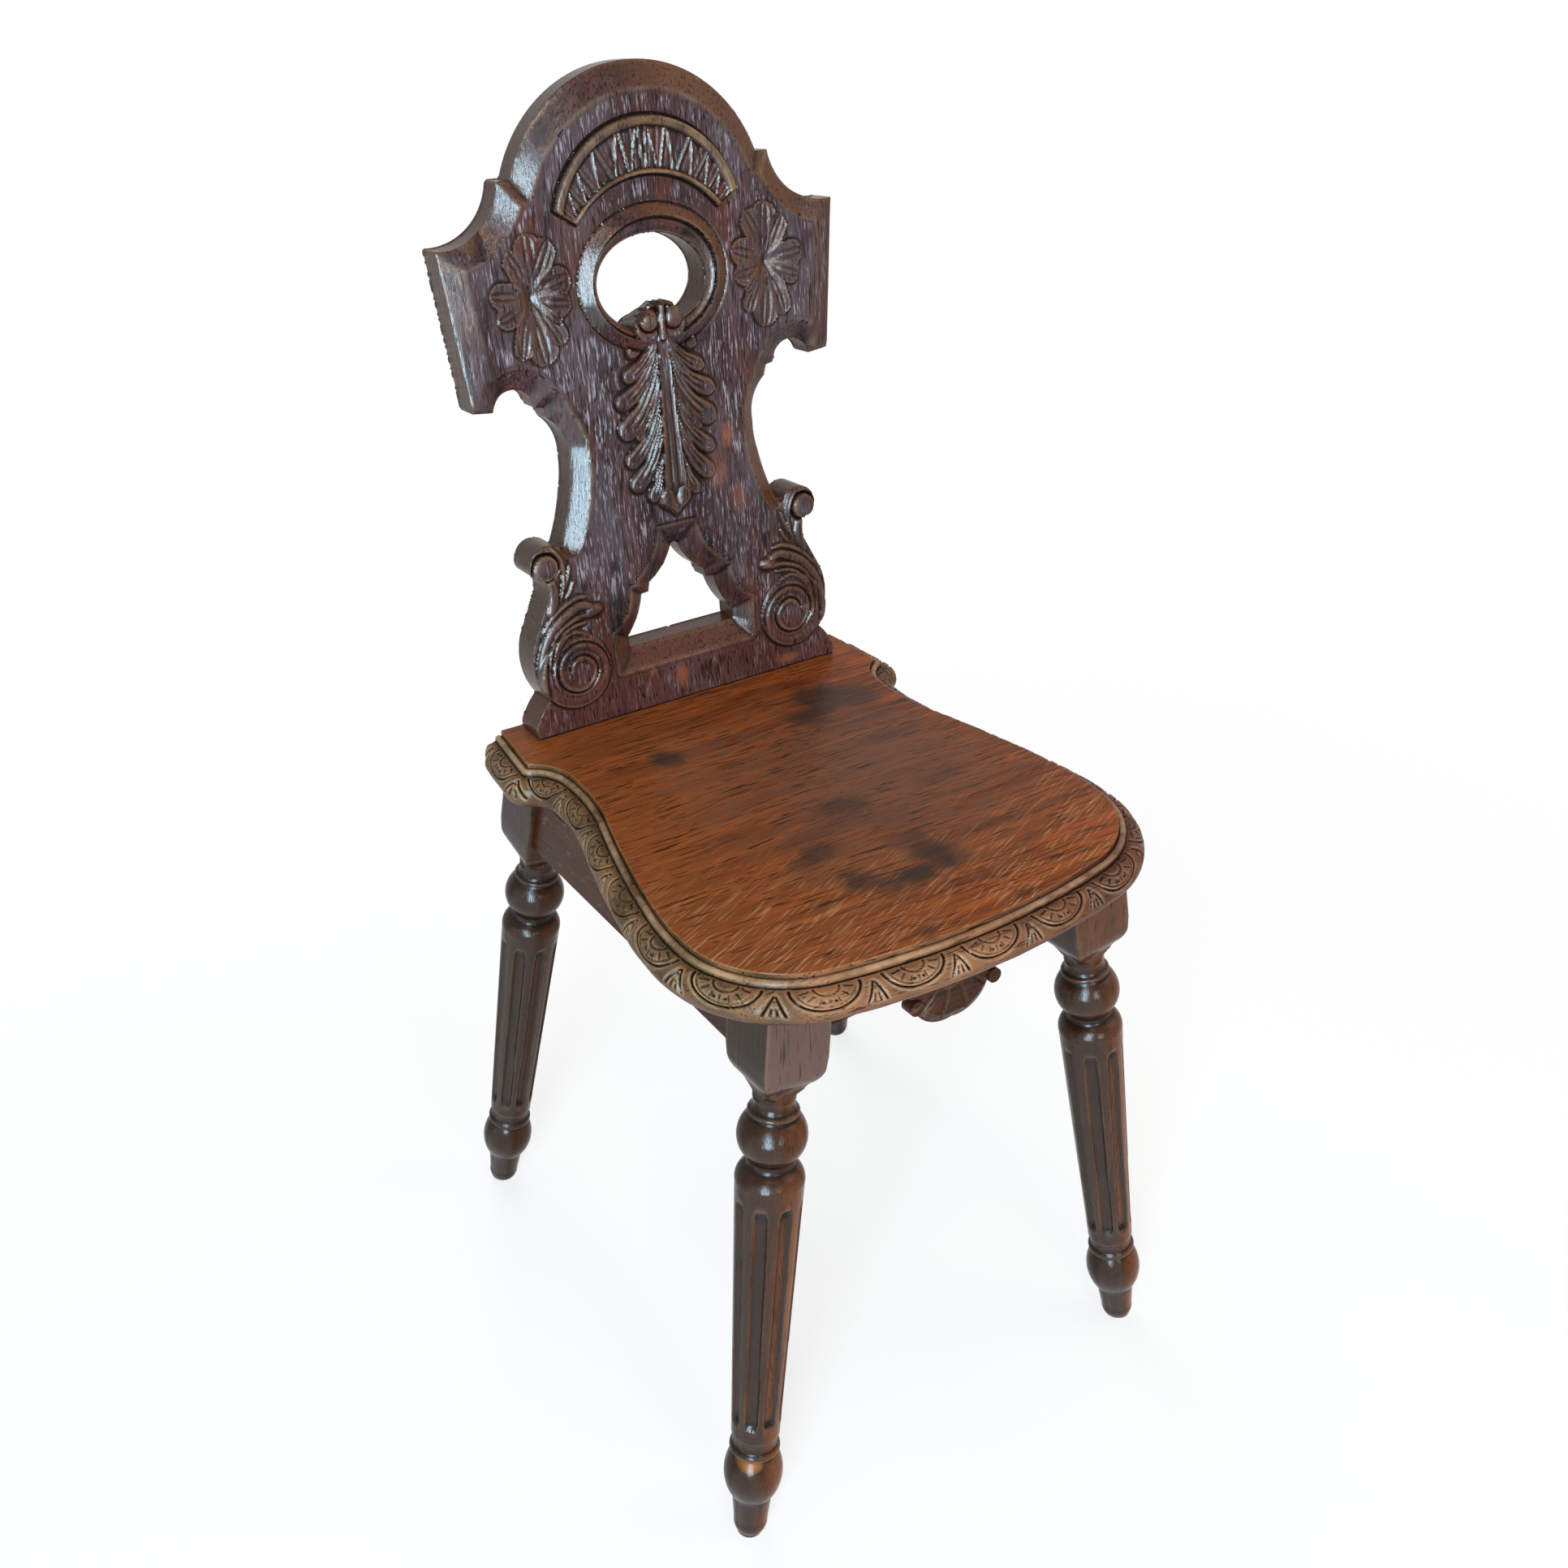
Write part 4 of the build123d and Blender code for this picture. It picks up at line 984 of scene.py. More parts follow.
def turned_leg(steps, flute_depth):
    """Upright leg: turned foot, fluted taper and ball, and the square block over them."""
    turned = trace((9, -6), LEG_PROFILE, 1.1, 2.4)
    block = trace((12.9, 348.4), BLOCK_PROFILE, 0.9, 3.0)
    bm = bmesh.new()
    chain = [bm.verts.new((r, 0, h)) for r, h in np.concatenate([turned, block])]
    edges = [bm.edges.new(pair) for pair in zip(chain[:-1], chain[1:])]
    bmesh.ops.spin(
        bm, geom=chain + edges, cent=(0, 0, 0), axis=(0, 0, 1),
        angle=math.tau, steps=steps, use_merge=True,
    )
    bmesh.ops.remove_doubles(bm, verts=bm.verts, dist=0.001)
    low, high = FLUTE_ENDS
    for v in bm.verts:
        x, y, h = v.co
        radius = math.hypot(x, y)
        angle = math.atan2(y, x)
        if h > BLOCK_FOOT:
            side = abs((angle + math.pi / 4) % (math.pi / 2) - math.pi / 4)
            start, foot, slope = LATHE_CUT
            lathe = start + max(h - foot, 0) * slope + max(h - foot - 6, 0) * 3
            reach = min(radius / math.cos(side), radius * math.sqrt(2) - 0.5, lathe)
            v.co.x *= reach / radius
            v.co.y *= reach / radius
        elif low - 5 < h < high + 5:
            turn = (angle + math.pi / FLUTES) % (2 * math.pi / FLUTES) - math.pi / FLUTES
            across = turn * radius
            past = max(low + FLUTE_HALF - h, h - high + FLUTE_HALF, 0)
            share = math.hypot(across, past) / FLUTE_HALF
            if share < 1:
                deep = flute_depth * math.sqrt(1 - share**2) ** 0.8
                v.co.x *= (radius - deep) / radius
                v.co.y *= (radius - deep) / radius
    ends = [e for e in bm.edges if e.is_boundary]
    bmesh.ops.holes_fill(bm, edges=ends, sides=0)
    bmesh.ops.recalc_face_normals(bm, faces=bm.faces)
    return bm


def standing_leg(upright, leg, side):
    """One leg in its place, cut level at the floor and under the seat."""
    bm = upright.copy()
    bmesh.ops.transform(bm, matrix=leg_place(leg, side), verts=bm.verts)
    for height, up in ((0.0, False), (UNDERSIDE * MM, True)):
        cut = bmesh.ops.bisect_plane(
            bm, geom=bm.verts[:] + bm.edges[:] + bm.faces[:], plane_co=(0, 0, height),
            plane_no=(0, 0, 1), clear_outer=up, clear_inner=not up,
        )["geom_cut"]
        edges = [g for g in cut if isinstance(g, bmesh.types.BMEdge)]
        bmesh.ops.contextual_create(bm, geom=edges)
    bmesh.ops.recalc_face_normals(bm, faces=bm.faces)
    return bm


BESIDE_FLATS = 0.006  # an edge this long, in metres, borders a flat and has no crease


# Finished pieces

def add_crease(mesh, rounds):
    """Store how hollow the surface is at each vertex: above zero in cuts, below on edges."""
    count = len(mesh.vertices)
    co = np.empty(count * 3)
    mesh.vertices.foreach_get("co", co)
    co = co.reshape(-1, 3)
    pairs = np.empty(len(mesh.edges) * 2, int)
    mesh.edges.foreach_get("vertices", pairs)
    pairs = pairs.reshape(-1, 2)
    lengths = np.linalg.norm(co[pairs[:, 0]] - co[pairs[:, 1]], axis=1)
    beside_flats = np.unique(pairs[lengths >= BESIDE_FLATS])
    pairs = pairs[lengths < BESIDE_FLATS]
    beside = np.bincount(pairs.ravel(), minlength=count)[:, None]
    blurred = co.copy()
    for _ in range(rounds):
        total = np.zeros_like(co)
        for axis in range(3):
            total[:, axis] = np.bincount(pairs[:, 0], blurred[pairs[:, 1], axis], count)
            total[:, axis] += np.bincount(pairs[:, 1], blurred[pairs[:, 0], axis], count)
        blurred = np.where(beside == 0, blurred, 0.4 * blurred + 0.6 * total / beside.clip(1))
    normals = np.empty(count * 3)
    mesh.vertex_normals.foreach_get("vector", normals)
    crease = ((blurred - co) * normals.reshape(-1, 3)).sum(1) / MM
    crease[beside_flats] = 0.0
    attribute = mesh.attributes.new("crease", "FLOAT", "POINT")
    attribute.data.foreach_set("value", crease.astype(np.float32))


def finish_piece(name, bm, material, nodes, rounds, angle):
    """Turn the shape into an object that rides on the chair and stands for its solids."""
    mesh = bpy.data.meshes.new(name)
    bm.to_mesh(mesh)
    bm.free()
    mesh.shade_smooth()
    mesh.set_sharp_from_angle(angle=math.radians(angle))
    add_crease(mesh, rounds)
    mesh.materials.append(material)
    piece = bpy.data.objects.new(name, mesh)
    bpy.context.scene.collection.objects.link(piece)
    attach(piece, "root")
    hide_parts(*nodes)


# Materials

def put(tree, kind, inputs=None, **settings):
    """Add a node. Inputs are values or the outputs that feed them, by name or by place."""
    made = tree.nodes.new(kind)
    for key, value in settings.items():
        setattr(made, key, value)
    for key, value in (inputs or {}).items():
        if isinstance(value, bpy.types.NodeSocket):
            tree.links.new(value, made.inputs[key])
        else:
            made.inputs[key].default_value = value
    return made


def masked(tree, value, low, high, first=0.0, last=1.0):
    """A value stretched from one range to another."""
    ranged = put(tree, "ShaderNodeMapRange", {0: value, 1: low, 2: high, 3: first, 4: last})
    return ranged.outputs[0]


def sums(tree, operation, first, second, clamp=False):
    """A sum of two values, by the name of the operation."""
    made = put(tree, "ShaderNodeMath", {0: first, 1: second}, operation=operation, use_clamp=clamp)
    return made.outputs[0]


def product(tree, first, *others):
    """Masks and strengths multiplied together."""
    for other in others:
        first = sums(tree, "MULTIPLY", first, other)
    return first


def vectors(tree, operation, first, second):
    """A sum of two vectors, by the name of the operation."""
    return put(tree, "ShaderNodeVectorMath", {0: first, 1: second}, operation=operation).outputs[0]


def vector_length(tree, vector):
    """The length of a vector."""
    return put(tree, "ShaderNodeVectorMath", {0: vector}, operation="LENGTH").outputs["Value"]


def plain_noise(tree, vector, scale, detail):
    """Noise of the same size in every direction. Scale is patches a metre."""
    noise = put(tree, "ShaderNodeTexNoise", {"Vector": vector, "Scale": scale, "Detail": detail})
    return noise.outputs[0]


def blended(tree, share, first, second):
    """The second colour over the first, by a share."""
    mix = put(tree, "ShaderNodeMix", {0: share, 6: tint(first), 7: tint(second)}, data_type="RGBA")
    return mix.outputs[2]


def tint(colour):
    """A colour with its alpha. The output of a node stays as it is."""
    return colour if isinstance(colour, bpy.types.NodeSocket) else (*colour, 1.0)


def new_material(name):
    """An empty material and its node tree."""
    material = bpy.data.materials.new(name)
    material.use_nodes = True
    material.node_tree.nodes.clear()
    return material, material.node_tree


def new_group(name, inputs, outputs):
    """An empty node group. An input without a default is a vector, and every output is a value."""
    tree = bpy.data.node_groups.new(name, "ShaderNodeTree")
    for label, default in inputs.items():
        kind = "NodeSocketVector" if default is None else "NodeSocketFloat"
        socket = tree.interface.new_socket(name=label, in_out="INPUT", socket_type=kind)
        if default is not None:
            socket.default_value = default
    for label in outputs:
        tree.interface.new_socket(name=label, in_out="OUTPUT", socket_type="NodeSocketFloat")
    return tree, put(tree, "NodeGroupInput"), put(tree, "NodeGroupOutput")


def put_group(tree, name, build, inputs):
    """Add a node of a shared group, which is built the first time it is asked for."""
    group = bpy.data.node_groups.get(name) or build(name)
    return put(tree, "ShaderNodeGroup", inputs, node_tree=group)


def stretched_noise(tree, vector, scale, detail=3.0, roughness=0.55, distortion=0.0):
    """Noise drawn out along the grain. Scale is patches a metre, across and along."""
    across, lengthways = scale
    place = vectors(tree, "MULTIPLY", vector, (across, across, lengthways))
    noise = put(tree, "ShaderNodeTexNoise", {
        "Vector": place, "Scale": 1.0, "Detail": detail,
        "Roughness": roughness, "Distortion": distortion,
    })
    return noise.outputs[0]


def oak_figure(name):
    """Oak figure with the grain along Z: year bands, fibres, open pores, ray flecks."""
    tree, given, out = new_group(
        name, {"Vector": None, "Pores": 0.6, "Rays": 0.3}, ("Bands", "Fibre", "Pores", "Rays", "Height"),
    )
    vector = given.outputs["Vector"]
    sway = put(tree, "ShaderNodeTexNoise", {"Vector": vector, "Scale": 7.0, "Detail": 1.0}).outputs[1]
    offset = vectors(tree, "SUBTRACT", sway, (0.5, 0.5, 0.5))
    offset = vectors(tree, "MULTIPLY", offset, (0.02, 0.02, 0.0))
    vector = vectors(tree, "ADD", vector, offset)
    bands = stretched_noise(tree, vector, (90, 3), 3.0, 0.6)
    fibre = stretched_noise(tree, vector, (560, 22), 4.0, 0.65)
    pores = stretched_noise(tree, vector, (900, 38), 1.0, 0.4)
    early = masked(tree, bands, 0.42, 0.6)
    limit = sums(tree, "SUBTRACT", 0.66, product(tree, early, 0.07))
    pores = sums(tree, "SUBTRACT", pores, limit)
    pores = sums(tree, "MULTIPLY", masked(tree, pores, 0.0, 0.04), given.outputs["Pores"], True)
    turned = put(tree, "ShaderNodeMapping", {"Vector": vector, "Rotation": (0.5, 0.35, 0.0)})
    rays = stretched_noise(tree, turned.outputs[0], (170, 32), 2.0, 0.45, 0.6)
    rays = sums(tree, "MULTIPLY", masked(tree, rays, 0.60, 0.68), given.outputs["Rays"], True)
    height = sums(tree, "SUBTRACT", product(tree, fibre, 0.8), pores)
    for socket, value in zip(out.inputs, (bands, fibre, pores, rays, height)):
        tree.links.new(value, socket)
    return tree


def wear_and_dark_hollows(name):
    """Where hands have rubbed the edges bright, and how much darker the hollows are, both by the crease
    attribute.
    """
    tree, given, out = new_group(name, {"Vector": None, "Wear": 0.5, "Dirt": 0.5}, ("Worn", "Darker hollows"))
    crease = put(tree, "ShaderNodeAttribute", attribute_name="crease").outputs["Fac"]
    fine = plain_noise(tree, given.outputs["Vector"], 160.0, 3.0)
    broad = plain_noise(tree, given.outputs["Vector"], 22.0, 3.0)
    convex = masked(tree, product(tree, crease, -1.0), 0.06, 0.42)
    broken = masked(tree, sums(tree, "ADD", product(tree, fine, 0.5), broad), 0.55, 1.0)
    worn = sums(tree, "MULTIPLY", product(tree, convex, broken), given.outputs["Wear"], True)
    hollow = masked(tree, crease, 0.02, 0.35)
    dirty = sums(tree, "MULTIPLY", hollow, given.outputs["Dirt"], True)
    tree.links.new(worn, out.inputs["Worn"])
    tree.links.new(dirty, out.inputs["Darker hollows"])
    return tree


def stain_shape(name):
    """A soft stain: one inside an oval about its centre, uneven at its edge, hollow if asked."""
    tree, given, out = new_group(
        name, {"Vector": None, "Centre": None, "Size": None, "Hollow": 0.0, "Uneven": 0.5}, ("Mask",),
    )
    place = given.outputs["Vector"]
    away = vectors(tree, "SUBTRACT", place, given.outputs["Centre"])
    reach = vector_length(tree, vectors(tree, "DIVIDE", away, given.outputs["Size"]))
    noise = plain_noise(tree, place, 75.0, 5.0)
    waver = product(tree, sums(tree, "SUBTRACT", noise, 0.5), given.outputs["Uneven"], 2.0)
    reach = sums(tree, "ADD", reach, waver)
    mask = masked(tree, reach, 1.25, 0.45)
    inside = masked(tree, sums(tree, "SUBTRACT", reach, given.outputs["Hollow"]), -0.35, 0.0)
    tree.links.new(product(tree, mask, inside), out.inputs["Mask"])
    return tree


def stain(tree, place, centre, size, hollow=0.0, uneven=0.5):
    """Mask of one stain, its centre and half sizes in metres."""
    inputs = {"Vector": place, "Centre": centre, "Size": size, "Hollow": hollow, "Uneven": uneven}
    return put_group(tree, "Stain", stain_shape, inputs).outputs[0]


def facing(tree, direction, low, high):
    """How far the surface turns towards a direction, from zero to one."""
    normal = put(tree, "ShaderNodeNewGeometry").outputs["Normal"]
    turn = put(tree, "ShaderNodeVectorMath", {0: normal, 1: direction}, operation="DOT_PRODUCT")
    return masked(tree, turn.outputs["Value"], low, high)


def arch_band(tree, place, height, radius, half):
    """A band along an arc on the face of the back, about a middle at a height."""
    away = vectors(tree, "SUBTRACT", place, (0.0, 0.0, height))
    along_board = (1.0, 0.0, 1 / math.cos(BACK_TILT))
    reach = vector_length(tree, vectors(tree, "MULTIPLY", away, along_board))
    gap = sums(tree, "ABSOLUTE", sums(tree, "SUBTRACT", reach, radius), 0.0)
    return masked(tree, gap, half, half * 0.6)


def oak_material(name, colours, turn, ground=None, spots=None, pores=0.7, rays=0.2, wear=0.6, dirt=0.8,
                 roughness=(0.3, 0.55), coat=0.2, dull=0.05, gloss_level=0.08, bump=0.5, shift=(0, 0, 0)):
    """Varnished oak. Colours are the dark, the light, the rubbed and the dirty tone. Coat is the polish
    of the sides that were handled, and dull is what the rest has left."""
    material, tree = new_material(name)
    dark, light, rubbed, dirty = colours
    place = put(tree, "ShaderNodeTexCoord").outputs["Object"]
    grain = put(tree, "ShaderNodeMapping", {"Vector": place, "Rotation": turn, "Location": shift})
    given = {"Vector": grain.outputs[0], "Pores": pores, "Rays": rays}
    figure = put_group(tree, "Oak figure", oak_figure, given).outputs
    given = {"Vector": place, "Wear": wear, "Dirt": dirt}
    use = put_group(tree, "Wear and dark hollows", wear_and_dark_hollows, given).outputs
    tone = sums(tree, "ADD", product(tree, figure["Bands"], 0.6), product(tree, figure["Fibre"], 0.5))
    colour = blended(tree, masked(tree, tone, 0.42, 0.66), dark, light)
    if ground:
        colour = ground(tree, place, colour)
    colour = blended(tree, product(tree, figure["Rays"], 0.8), colour, rubbed)
    colour = blended(tree, figure["Pores"], colour, dirty)
    # Darker in the hollows, in the dirt tone, by the crease attribute
    colour = blended(tree, use["Darker hollows"], colour, dirty)
    colour = blended(tree, use["Worn"], colour, rubbed)
    if spots:
        colour = spots(tree, place, colour)
    gloss = sums(tree, "ADD", product(tree, figure["Fibre"], 0.6), product(tree, use["Darker hollows"], 0.6))
    bumps = put(tree, "ShaderNodeBump", {
        "Height": figure["Height"], "Strength": bump, "Distance": GRAIN_RELIEF,
    }).outputs[0]
    if coat > dull:
        polish = facing(tree, POLISHED_SIDE, 0.78, 0.9)
        coat = sums(tree, "ADD", product(tree, polish, coat - dull), dull)
    shader = put(tree, "ShaderNodeBsdfPrincipled", {
        "Base Color": colour, "Roughness": masked(tree, gloss, 0.15, 0.8, *roughness), "IOR": 1.5,
        "Specular IOR Level": gloss_level, "Coat Weight": coat, "Coat Roughness": 0.1, "Coat IOR": 1.7,
        "Normal": bumps, "Coat Normal": bumps,
    })
    put(tree, "ShaderNodeOutputMaterial", {"Surface": shader.outputs[0]})
    return material


def back_ground(tree, place, colour):
    """Red patches, painted reflection haze and painted sheen streaks on the flat face, painted warm light on
    the bevels to the right and above, the edges' tone, the red foot, and a painted bronze highlight on the
    fan's roll and lip.
    """
    tones = colours()
    patches = stretched_noise(tree, place, (34, 9), 5.0, 0.62)
    colour = blended(tree, masked(tree, patches, 0.50, 0.62, 0, 0.85), colour, tones.back_red)
    # Painted reflection: a purple-grey haze of the pale room, in patches on the flat face
    haze = stretched_noise(tree, place, (26, 12), 4.0, 0.6)
    flat = facing(tree, FRONT, 0.86, 0.98)
    haze = product(tree, masked(tree, haze, 0.46, 0.6, 0, 0.75), flat)
    colour = blended(tree, haze, colour, tones.back_painted_reflection)
    # Painted sheen: thin bluish streaks of reflected light in groups on the smooth flat face
    streaks = stretched_noise(tree, place, (780, 42), 2.0, 0.7)
    groups = stretched_noise(tree, place, (60, 30), 3.0, 0.6)
    crease = put(tree, "ShaderNodeAttribute", attribute_name="crease").outputs["Fac"]
    smooth_wood = masked(tree, sums(tree, "ABSOLUTE", crease, 0.0), 0.10, 0.02)
    groups = masked(tree, groups, 0.40, 0.58, 0.25, 1.0)
    sheen = product(tree, masked(tree, streaks, 0.53, 0.66), groups, flat, smooth_wood, 0.8)
    colour = blended(tree, sheen, colour, tones.back_painted_sheen)
    # Painted warm light: a brown tone on the bevels that face right and up
    brown = facing(tree, (1.0, 0.0, 0.75), 0.22, 0.5)
    colour = blended(tree, product(tree, brown, 0.85), colour, tones.back_painted_warm_light)
    wall = facing(tree, FRONT, 0.42, 0.2)
    colour = blended(tree, product(tree, wall, 0.8), colour, tones.back_wall)
    height = put(tree, "ShaderNodeSeparateXYZ", {0: place}).outputs[2]
    foot = masked(tree, height, *RED_FOOT, 0, 0.6)
    colour = blended(tree, foot, colour, tones.back_red)
    # Painted highlight: broken bronze lines along the fan's roll and lip, on the faces turned to the front
    roll = arch_band(tree, place, *FAN_ROLL)
    lip = arch_band(tree, place, *FAN_LIP)
    above = masked(tree, height, *BRONZE_FOOT)
    broken = masked(tree, stretched_noise(tree, place, (45, 45), 3.0), 0.4, 0.62, 0.05, 0.6)
    painted_bronze_highlight = product(tree, sums(tree, "MAXIMUM", roll, lip), above, broken, facing(tree, FRONT, 0.0, 0.2))
    return blended(tree, painted_bronze_highlight, colour, tones.bronze)


def back_spots(tree, place, colour):
    """Reddish chips and a worn orange spot."""
    front = facing(tree, FRONT, 0.0, 0.2)
    for x, z, wide, tall, strength in BACK_CHIPS:
        mask = stain(tree, place, (x * MM, 0.14, z * MM), (wide * MM, 0.1, tall * MM), uneven=0.8)
        colour = blended(tree, product(tree, mask, front, strength), colour, colours().chip)
    return colour


def seat_ground(tree, place, colour):
    """Warmer wood to the left, browner behind the middle, and the golden rays in front."""
    tones = colours()
    parts = put(tree, "ShaderNodeSeparateXYZ", {0: place})
    left = masked(tree, parts.outputs[0], 0.02, -0.15, 0, 0.55)
    colour = blended(tree, left, colour, tones.seat_warm)
    worn = stain(tree, place, *SEAT_WORN, uneven=0.9)
    colour = blended(tree, product(tree, worn, 0.65), colour, tones.seat_grey)
    turned = put(tree, "ShaderNodeMapping", {"Vector": place, "Rotation": (0.0, 0.0, math.radians(-24))})
    spread = vectors(tree, "MULTIPLY", turned.outputs[0], (46.0, 720.0, 60.0))
    flecks = masked(tree, plain_noise(tree, spread, 1.0, 1.5), 0.54, 0.68)
    front = masked(tree, parts.outputs[1], -0.03, -0.14)
    away = sums(tree, "SUBTRACT", front, product(tree, worn, 0.7), True)
    colour = blended(tree, product(tree, flecks, away, 0.6), colour, tones.ray)
    return rim_ground(tree, parts, place, colour)


def rim_ground(tree, parts, place, colour):
    """The rim's own tone: olive at the left and the rear, gold-brown in front, red-brown at the right."""
    tones = colours()
    broad = plain_noise(tree, place, 45.0, 4.0)
    sway = product(tree, sums(tree, "SUBTRACT", broad, 0.5), 0.12)
    across = sums(tree, "ADD", parts.outputs[0], sway)
    tone = blended(tree, masked(tree, across, -0.155, -0.10), tones.rim_left, tones.rim_front)
    tone = blended(tree, masked(tree, across, -0.02, 0.09), tone, tones.rim_right)
    rear = masked(tree, parts.outputs[1], -0.02, 0.08, 0, 0.7)
    tone = blended(tree, rear, tone, tones.rim_left)
    tone = blended(tree, masked(tree, broad, 0.35, 0.62, 0.45, 0.0), tone, tones.dirt)
    lower = masked(tree, parts.outputs[2], *RIM_LOWER, 0, 0.75)
    tone = blended(tree, lower, tone, tones.back_red)
    tone = blended(tree, facing(tree, REAR, 0.5, 0.9), tone, tones.rail)
    return blended(tree, masked(tree, parts.outputs[2], *RIM_SIDE), colour, tone)


def seat_spots(tree, place, colour):
    """Dark spills on the seat and the pale glue line."""
    for x, y, wide, deep, hollow, strength in SEAT_STAINS:
        centre = (x * MM, (MIDDLE_TO_BACK + y) * MM, SEAT_TOP * MM)
        mask = stain(tree, place, centre, (wide * MM, deep * MM, 1.0), hollow, 0.45)
        colour = blended(tree, product(tree, mask, strength), colour, colours().spill)
    centre = (GLUE_LINE_MIDDLE, (MIDDLE_TO_BACK + BOARD_JOINT) * MM, SEAT_TOP * MM)
    line = stain(tree, place, centre, GLUE_LINE_HALF)
    return blended(tree, product(tree, line, 0.35), colour, colours().ray)


def leg_ground(tree, place, colour):
    """Painted warm light on the sides that face right, painted shade on the sides that face left, on the
    rear legs and on the blocks' left faces, and painted pinkish light on the blocks' front faces.
    """
    tones = colours()
    across, rearwards, height = put(tree, "ShaderNodeSeparateXYZ", {0: place}).outputs
    # Painted warm light: an uneven warm tone on the sides that face right
    uneven = masked(tree, stretched_noise(tree, place, (60, 8), 3.0), 0.35, 0.6, 0.3, 0.9)
    warm = product(tree, facing(tree, (0.75, -0.65, 0.0), 0.35, 0.95), uneven)
    colour = blended(tree, warm, colour, tones.leg_painted_warm_light)
    shaded = product(tree, facing(tree, LEFT, 0.1, 0.75), 0.8)
    colour = blended(tree, shaded, colour, tones.leg_dark)
    # Painted shadow: the rear legs darker, as under the seat
    colour = blended(tree, masked(tree, rearwards, -0.12, 0.0, 0, 0.75), colour, tones.leg_dark)
    on_block = masked(tree, height, *BLOCK_HEIGHT)
    # Painted light: a pinkish tone on the front faces of the front legs' blocks, stronger at the left
    face = facing(tree, (0.25, -0.97, 0.0), 0.75, 0.9)
    front_legs = masked(tree, rearwards, 0.0, -0.12)
    left_more = masked(tree, across, 0.05, -0.05, 0.25, 1.0)
    worn = product(tree, on_block, face, front_legs, left_more, 0.9)
    colour = blended(tree, worn, colour, tones.block_painted_front_light)
    shade = product(tree, on_block, facing(tree, LEFT, 0.7, 0.9), 0.8)
    return blended(tree, shade, colour, tones.leg_dark)


def leg_spots(tree, place, colour):
    """The worn orange patch on the front left foot."""
    mask = stain(tree, place, *FOOT_PATCH, uneven=0.3)
    return blended(tree, product(tree, mask, 0.9), colour, (0.42, 0.14, 0.03))


def steel_material():
    """Dull old steel with a film of rust."""
    material, tree = new_material("screw_steel")
    place = put(tree, "ShaderNodeTexCoord").outputs["Object"]
    rust = masked(tree, plain_noise(tree, place, 700.0, 4.0), 0.45, 0.65)
    colour = blended(tree, rust, (0.30, 0.28, 0.26), (0.10, 0.045, 0.02))
    shader = put(tree, "ShaderNodeBsdfPrincipled", {
        "Base Color": colour, "Metallic": masked(tree, rust, 0, 1, 1.0, 0.1),
        "Roughness": masked(tree, rust, 0, 1, 0.35, 0.8),
    })
    put(tree, "ShaderNodeOutputMaterial", {"Surface": shader.outputs[0]})
    return material


def coat_node(name, material):
    """Give a solid that stays visible its material."""
    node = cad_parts[name]
    node.data.materials.clear()
    node.data.materials.append(material)


# What a user may change

def a_length(label, meaning, size, least, most):
    """A length that a user may change."""
    return FloatProperty(
        name=label, description=meaning, default=size, min=least, max=most, unit="LENGTH", precision=4)


def a_colour(label, meaning, colour):
    """A colour that a user may change."""
    return FloatVectorProperty(
        name=label, description=meaning, default=colour, size=3, min=0, max=1, subtype="COLOR")


class CHAIR_PG_sizes(bpy.types.PropertyGroup):
    """Sizes of the carved and turned surfaces."""
    board_cell: a_length(
        "Back point spacing", "Distance between the points of the back's carved face",
        0.00156, 0.0008, 0.004)
    arris: a_length("Back arris", "Width of the rubbed edge round the back board", 0.0005, 0.0001, 0.002)
    rim_spacing: a_length(
        "Rim point spacing", "Distance between the points along the carved rim", 0.0008, 0.0004, 0.003)
    lunette_pitch: a_length("Lunette pitch", "Length of one carved half-moon of the rim", 0.0524, 0.03, 0.08)
    lunette_depth: FloatProperty(
        name="Lunette depth", description="Share of the full depth of the rim's gouge cuts",
        default=1.4, min=0.0, max=1.5, subtype="FACTOR")
    flute_depth: a_length("Flute depth", "Depth of the flutes of the legs", 0.0027, 0.0005, 0.004)
    leg_steps: IntProperty(
        name="Leg steps", description="Faces round each turned leg", default=160, min=32, max=320)


